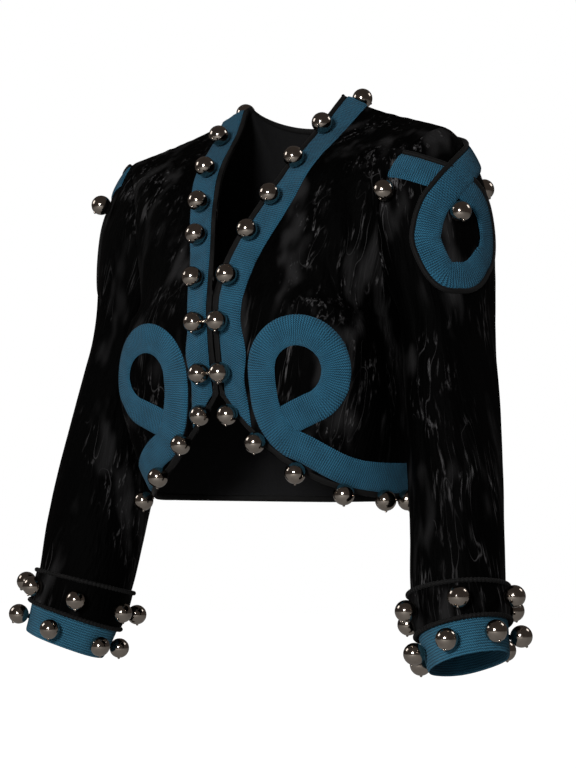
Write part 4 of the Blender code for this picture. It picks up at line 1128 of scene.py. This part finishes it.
for side, turn in (("left", 1), ("right", MIRROR)):
    degrees, rise = SHOULDER_LOOP_SHIFT[side]
    path = cap_places(np.radians(SHOULDER_LOOP["around"] + degrees), SHOULDER_LOOP["z"] + rise)
    path = smooth_line(smooth_line(path, 44), 260)
    a, b = ribbon_places(sleeve_point, path, SHOULDER_TAPE_WIDTH, 1)
    on_cap = np.flatnonzero((b > TAPE_START).any(0))
    showing = slice(on_cap[0], on_cap[-1] + 1)
    outside_seam = b[-1, showing] > TAPE_START
    a, b = a[:, showing], np.maximum(b[:, showing], TAPE_START)
    loop_base, loop_square = sleeve_point(a, b), arrows(sleeve_point, a, b, 1)
    share = np.linspace(0, 1, len(path))[showing]
    over = np.clip((share - 0.66) / 0.08, 0, 1) * np.clip((1.0 - share) / 0.08, 0, 1)
    over = (eased(over) * TAPE_THICKNESS)[None, :]
    depth = sleeve_folded(a, loop_base, side) * 0.3
    strip = tape(f"shoulder_loop_{side}", loop_base * turn, loop_square * turn, depth, raised=over)
    fitted(strip, "knit_tape", f"shoulder_loop_{side}")
    rim_edge = loop_base[-1] + unit(loop_base[-1] - loop_base[-2]) * 0.0012
    rim_line = rim_edge + loop_square[-1] * (0.0008 + over[0][:, None])
    rim_line, rim_square = rim_line[outside_seam] * turn, loop_square[-1][outside_seam] * turn
    fitted(tube(f"shoulder_rim_{side}", rim_line, rim_square, RIM_RADIUS, BINDING), "binding")

# The ball buttons
# The buttons are hollow balls of plated plastic, 21 mm across, with a shank underneath that is sewn
# down and a small plated bead at the side where the halves are closed. The plating is bright.
BALL_RADIUS = 0.0105
SHANK_RADIUS, SHANK_LENGTH = 0.0025, 0.0012
BEAD_RADIUS = 0.0014
# A little longer than one, so that a ball which points straight down has a lower side too
DOWN = np.array([0, 0, -1.000001])
BALL_MIDDLE = SHANK_LENGTH + math.sqrt(BALL_RADIUS**2 - SHANK_RADIUS**2)


def silver_plate():
    """Bright nickel-silver plate over moulded plastic: a mirror, a little warm, faintly scuffed."""
    made, shader = new_material("silver_plate")
    place = add(made, "ShaderNodeTexCoord").outputs["Object"]
    scuff = add(made, "ShaderNodeTexNoise", {"Vector": place, "Scale": 420, "Detail": 3}).outputs["Fac"]
    rough = add(made, "ShaderNodeMapRange", {0: scuff, 1: 0.4, 2: 0.75, 3: 0.09, 4: 0.20})
    tarnish = add(made, "ShaderNodeTexNoise", {"Vector": place, "Scale": 150, "Detail": 2}).outputs["Fac"]
    shades = {0: tarnish, 6: linear("#8f857c"), 7: linear("#b3a99f")}
    colour = add(made, "ShaderNodeMix", shades, data_type="RGBA")
    set_inputs(made, shader, {
        "Base Color": colour.outputs[2],
        "Roughness": rough.outputs[0],
        "Metallic": 1.0,
    })
    return made


PLATE = silver_plate()


def turned(profile, sides):
    """Corners and quads of a shape turned about +Z from its profile of (radius, height)."""
    around = np.linspace(0, 2 * np.pi, sides, endpoint=False)
    radius, height = np.array(profile).T
    corners = np.stack([
        radius[:, None] * np.cos(around),
        radius[:, None] * np.sin(around),
        height[:, None] + around * 0,
    ], -1)
    index = np.arange(corners.shape[0] * sides).reshape(-1, sides)
    index = np.hstack([index, index[:, :1]])
    quads = np.stack([index[:-1, :-1], index[1:, :-1], index[1:, 1:], index[:-1, 1:]], -1)
    return corners.reshape(-1, 3), quads.reshape(-1, 4)


def round_bead(radius):
    """Corners and quads of a small round bead."""
    turns = np.radians(np.linspace(2, 178, 8))
    return turned([(radius * math.sin(t), radius * math.cos(t)) for t in turns], 12)


def plated(name, shapes, *nodes):
    """One plated piece, of shapes that each have their own corners and quads."""
    firsts = np.cumsum([0] + [len(corners) for corners, _ in shapes])
    faces = np.vstack([quads + first for (_, quads), first in zip(shapes, firsts)])
    piece = new_piece(name, np.vstack([corners for corners, _ in shapes]), faces.tolist(), PLATE)
    fitted(piece, "chrome", *nodes)


ball_turns = np.radians(np.linspace(1, 164, 19))
ball_profile = [(BALL_RADIUS * math.sin(t), BALL_MIDDLE + BALL_RADIUS * math.cos(t)) for t in ball_turns]
ball_profile += [(SHANK_RADIUS, SHANK_LENGTH), (SHANK_RADIUS, 0.0), (0.0003, 0.0)]
ball_corners, ball_quads = turned(ball_profile, 28)
bead_corners, bead_quads = round_bead(BEAD_RADIUS)


def ball_buttons(name, seats, *nodes):
    """One or more ball buttons, each given by its foot and the way that it points."""
    shapes = []
    for foot, pointing in seats:
        turn = np.array(Vector(pointing).to_track_quat("Z", "Y").to_matrix())
        # The bead sits on the ball's lower side, drawn a little over to where the ball points
        downwards = unit(pointing * pointing[2] + DOWN)
        bead = foot + pointing * BALL_MIDDLE + unit(downwards * 0.92 + pointing * 0.38) * BALL_RADIUS
        shapes += [(ball_corners @ turn.T + foot, ball_quads), (bead_corners + bead, bead_quads)]
    plated(name, shapes, *nodes)


def seat_of(node):
    """The foot of a button's solid, and the way that it points, read from its corners."""
    corners = np.array([v.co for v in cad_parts[node].data.vertices], float)
    corners = np.unique(np.round(corners, 6), axis=0)
    middle = corners.mean(0)
    top = corners[np.linalg.norm(corners - middle, axis=1).argmax()]
    pointing = unit(top - middle)
    return top - pointing * (BALL_MIDDLE + BALL_RADIUS), pointing


for node in sorted(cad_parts):
    if "_ball_" in node:
        ball_buttons(f"button_{node}", [seat_of(node)], node)

CUFF_BALLS = {
    ("left", "velvet_band"): (6, 3),
    ("left", "knit_cuff"): (7, 30),
    ("right", "velvet_band"): (7, 20),
    ("right", "knit_cuff"): (6, 45),
}
for (side, name), (count, first) in CUFF_BALLS.items():
    turn = 1 if side == "left" else MIRROR
    is_band = name == "velvet_band"
    drop = (BAND_TOP + BAND_BOTTOM) / 2 if is_band else (BAND_BOTTOM + CUFF_BOTTOM) / 2
    proud = RIDGE_PROUD if is_band else 0.0
    angles = np.radians(first + 360 * np.arange(count) / count)
    feet = tube_point(angles, drop, proud) * turn
    square = arrows(lambda a, d: tube_point(a, d, proud), angles, drop, 1) * turn
    ball_buttons(f"{name}_buttons_{side}", list(zip(feet, square)))

# The two closures
# Opposite balls are held together across the opening by a short plated link, a row of three small
# beads on a wire.
LINK_BEAD_RADIUS = 0.0019
link_corners, link_quads = round_bead(LINK_BEAD_RADIUS)
for k in (1, 2):
    low, high = (np.array(v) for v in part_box(f"closure_link_{k}"))
    middle, half = (low + high) / 2, (high[0] - low[0]) / 2
    reach = half - 0.001
    shapes = [(link_corners + middle + [x, 0, 0], link_quads) for x in np.linspace(-reach, reach, 3)]
    plated(f"closure_chain_{k}", shapes, f"closure_link_{k}")

# The studio
# The jacket hangs in the shape of its wearer over a plain pale floor, in soft light from the upper
# left front, and the floor is a sheet of opal acrylic lit from below, so that it stays white.
FLOOR_Z = -0.75


def opal_acrylic():
    """Matt opal acrylic, cast and lit from below: an even white glow with a faint grain."""
    made, shader = new_material("opal_acrylic")
    place = add(made, "ShaderNodeTexCoord").outputs["Object"]
    grain = add(made, "ShaderNodeTexNoise", {"Vector": place, "Scale": 300}).outputs["Fac"]
    bump = add(made, "ShaderNodeBump", {"Height": grain, "Strength": 0.05, "Distance": 0.0005})
    seen = add(made, "ShaderNodeLightPath").outputs["Is Camera Ray"]
    glow = add(made, "ShaderNodeMapRange", {0: seen, 3: 0.10, 4: 1.0})
    set_inputs(made, shader, {
        "Base Color": linear("#a3a3a2"),
        "Roughness": 0.9,
        "Normal": bump.outputs[0],
        "Emission Color": linear("#ffffff"),
        "Emission Strength": glow.outputs[0],
    })
    return made


bpy.ops.mesh.primitive_plane_add(size=7, location=(0, 0, FLOOR_Z))
floor = bpy.context.object
floor.name = "floor"
floor.data.materials.append(opal_acrylic())
floor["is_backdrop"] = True
world = bpy.data.worlds.new("studio")
world.use_nodes = True
seen = add(world, "ShaderNodeLightPath").outputs["Is Camera Ray"]
walls = {0: seen, 6: linear("#4a4542"), 7: linear("#ffffff")}
room = add(world, "ShaderNodeMix", walls, data_type="RGBA")
set_inputs(world, world.node_tree.nodes["Background"], {"Color": room.outputs[2]})
bpy.context.scene.world = world
for name, place, aim, size, power in (
    ("key_light", (0.65, -2.3, 0.1), (0, 0, -0.25), 0.45, 46),
    ("side_light", (-2.2, -0.9, 0.9), (0, 0, -0.25), 0.9, 9),
    ("rim_light", (1.5, 1.5, 1.3), (0, 0, -0.2), 0.8, 7),
):
    light = bpy.data.objects.new(name, bpy.data.lights.new(name, "AREA"))
    light.data.size = size
    light.data.energy = power
    light.location = place
    light.rotation_euler = (Vector(aim) - Vector(place)).to_track_quat("-Z", "Y").to_euler()
    bpy.context.scene.collection.objects.link(light)
bpy.context.scene.view_settings.view_transform = "Standard"

low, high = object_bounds()
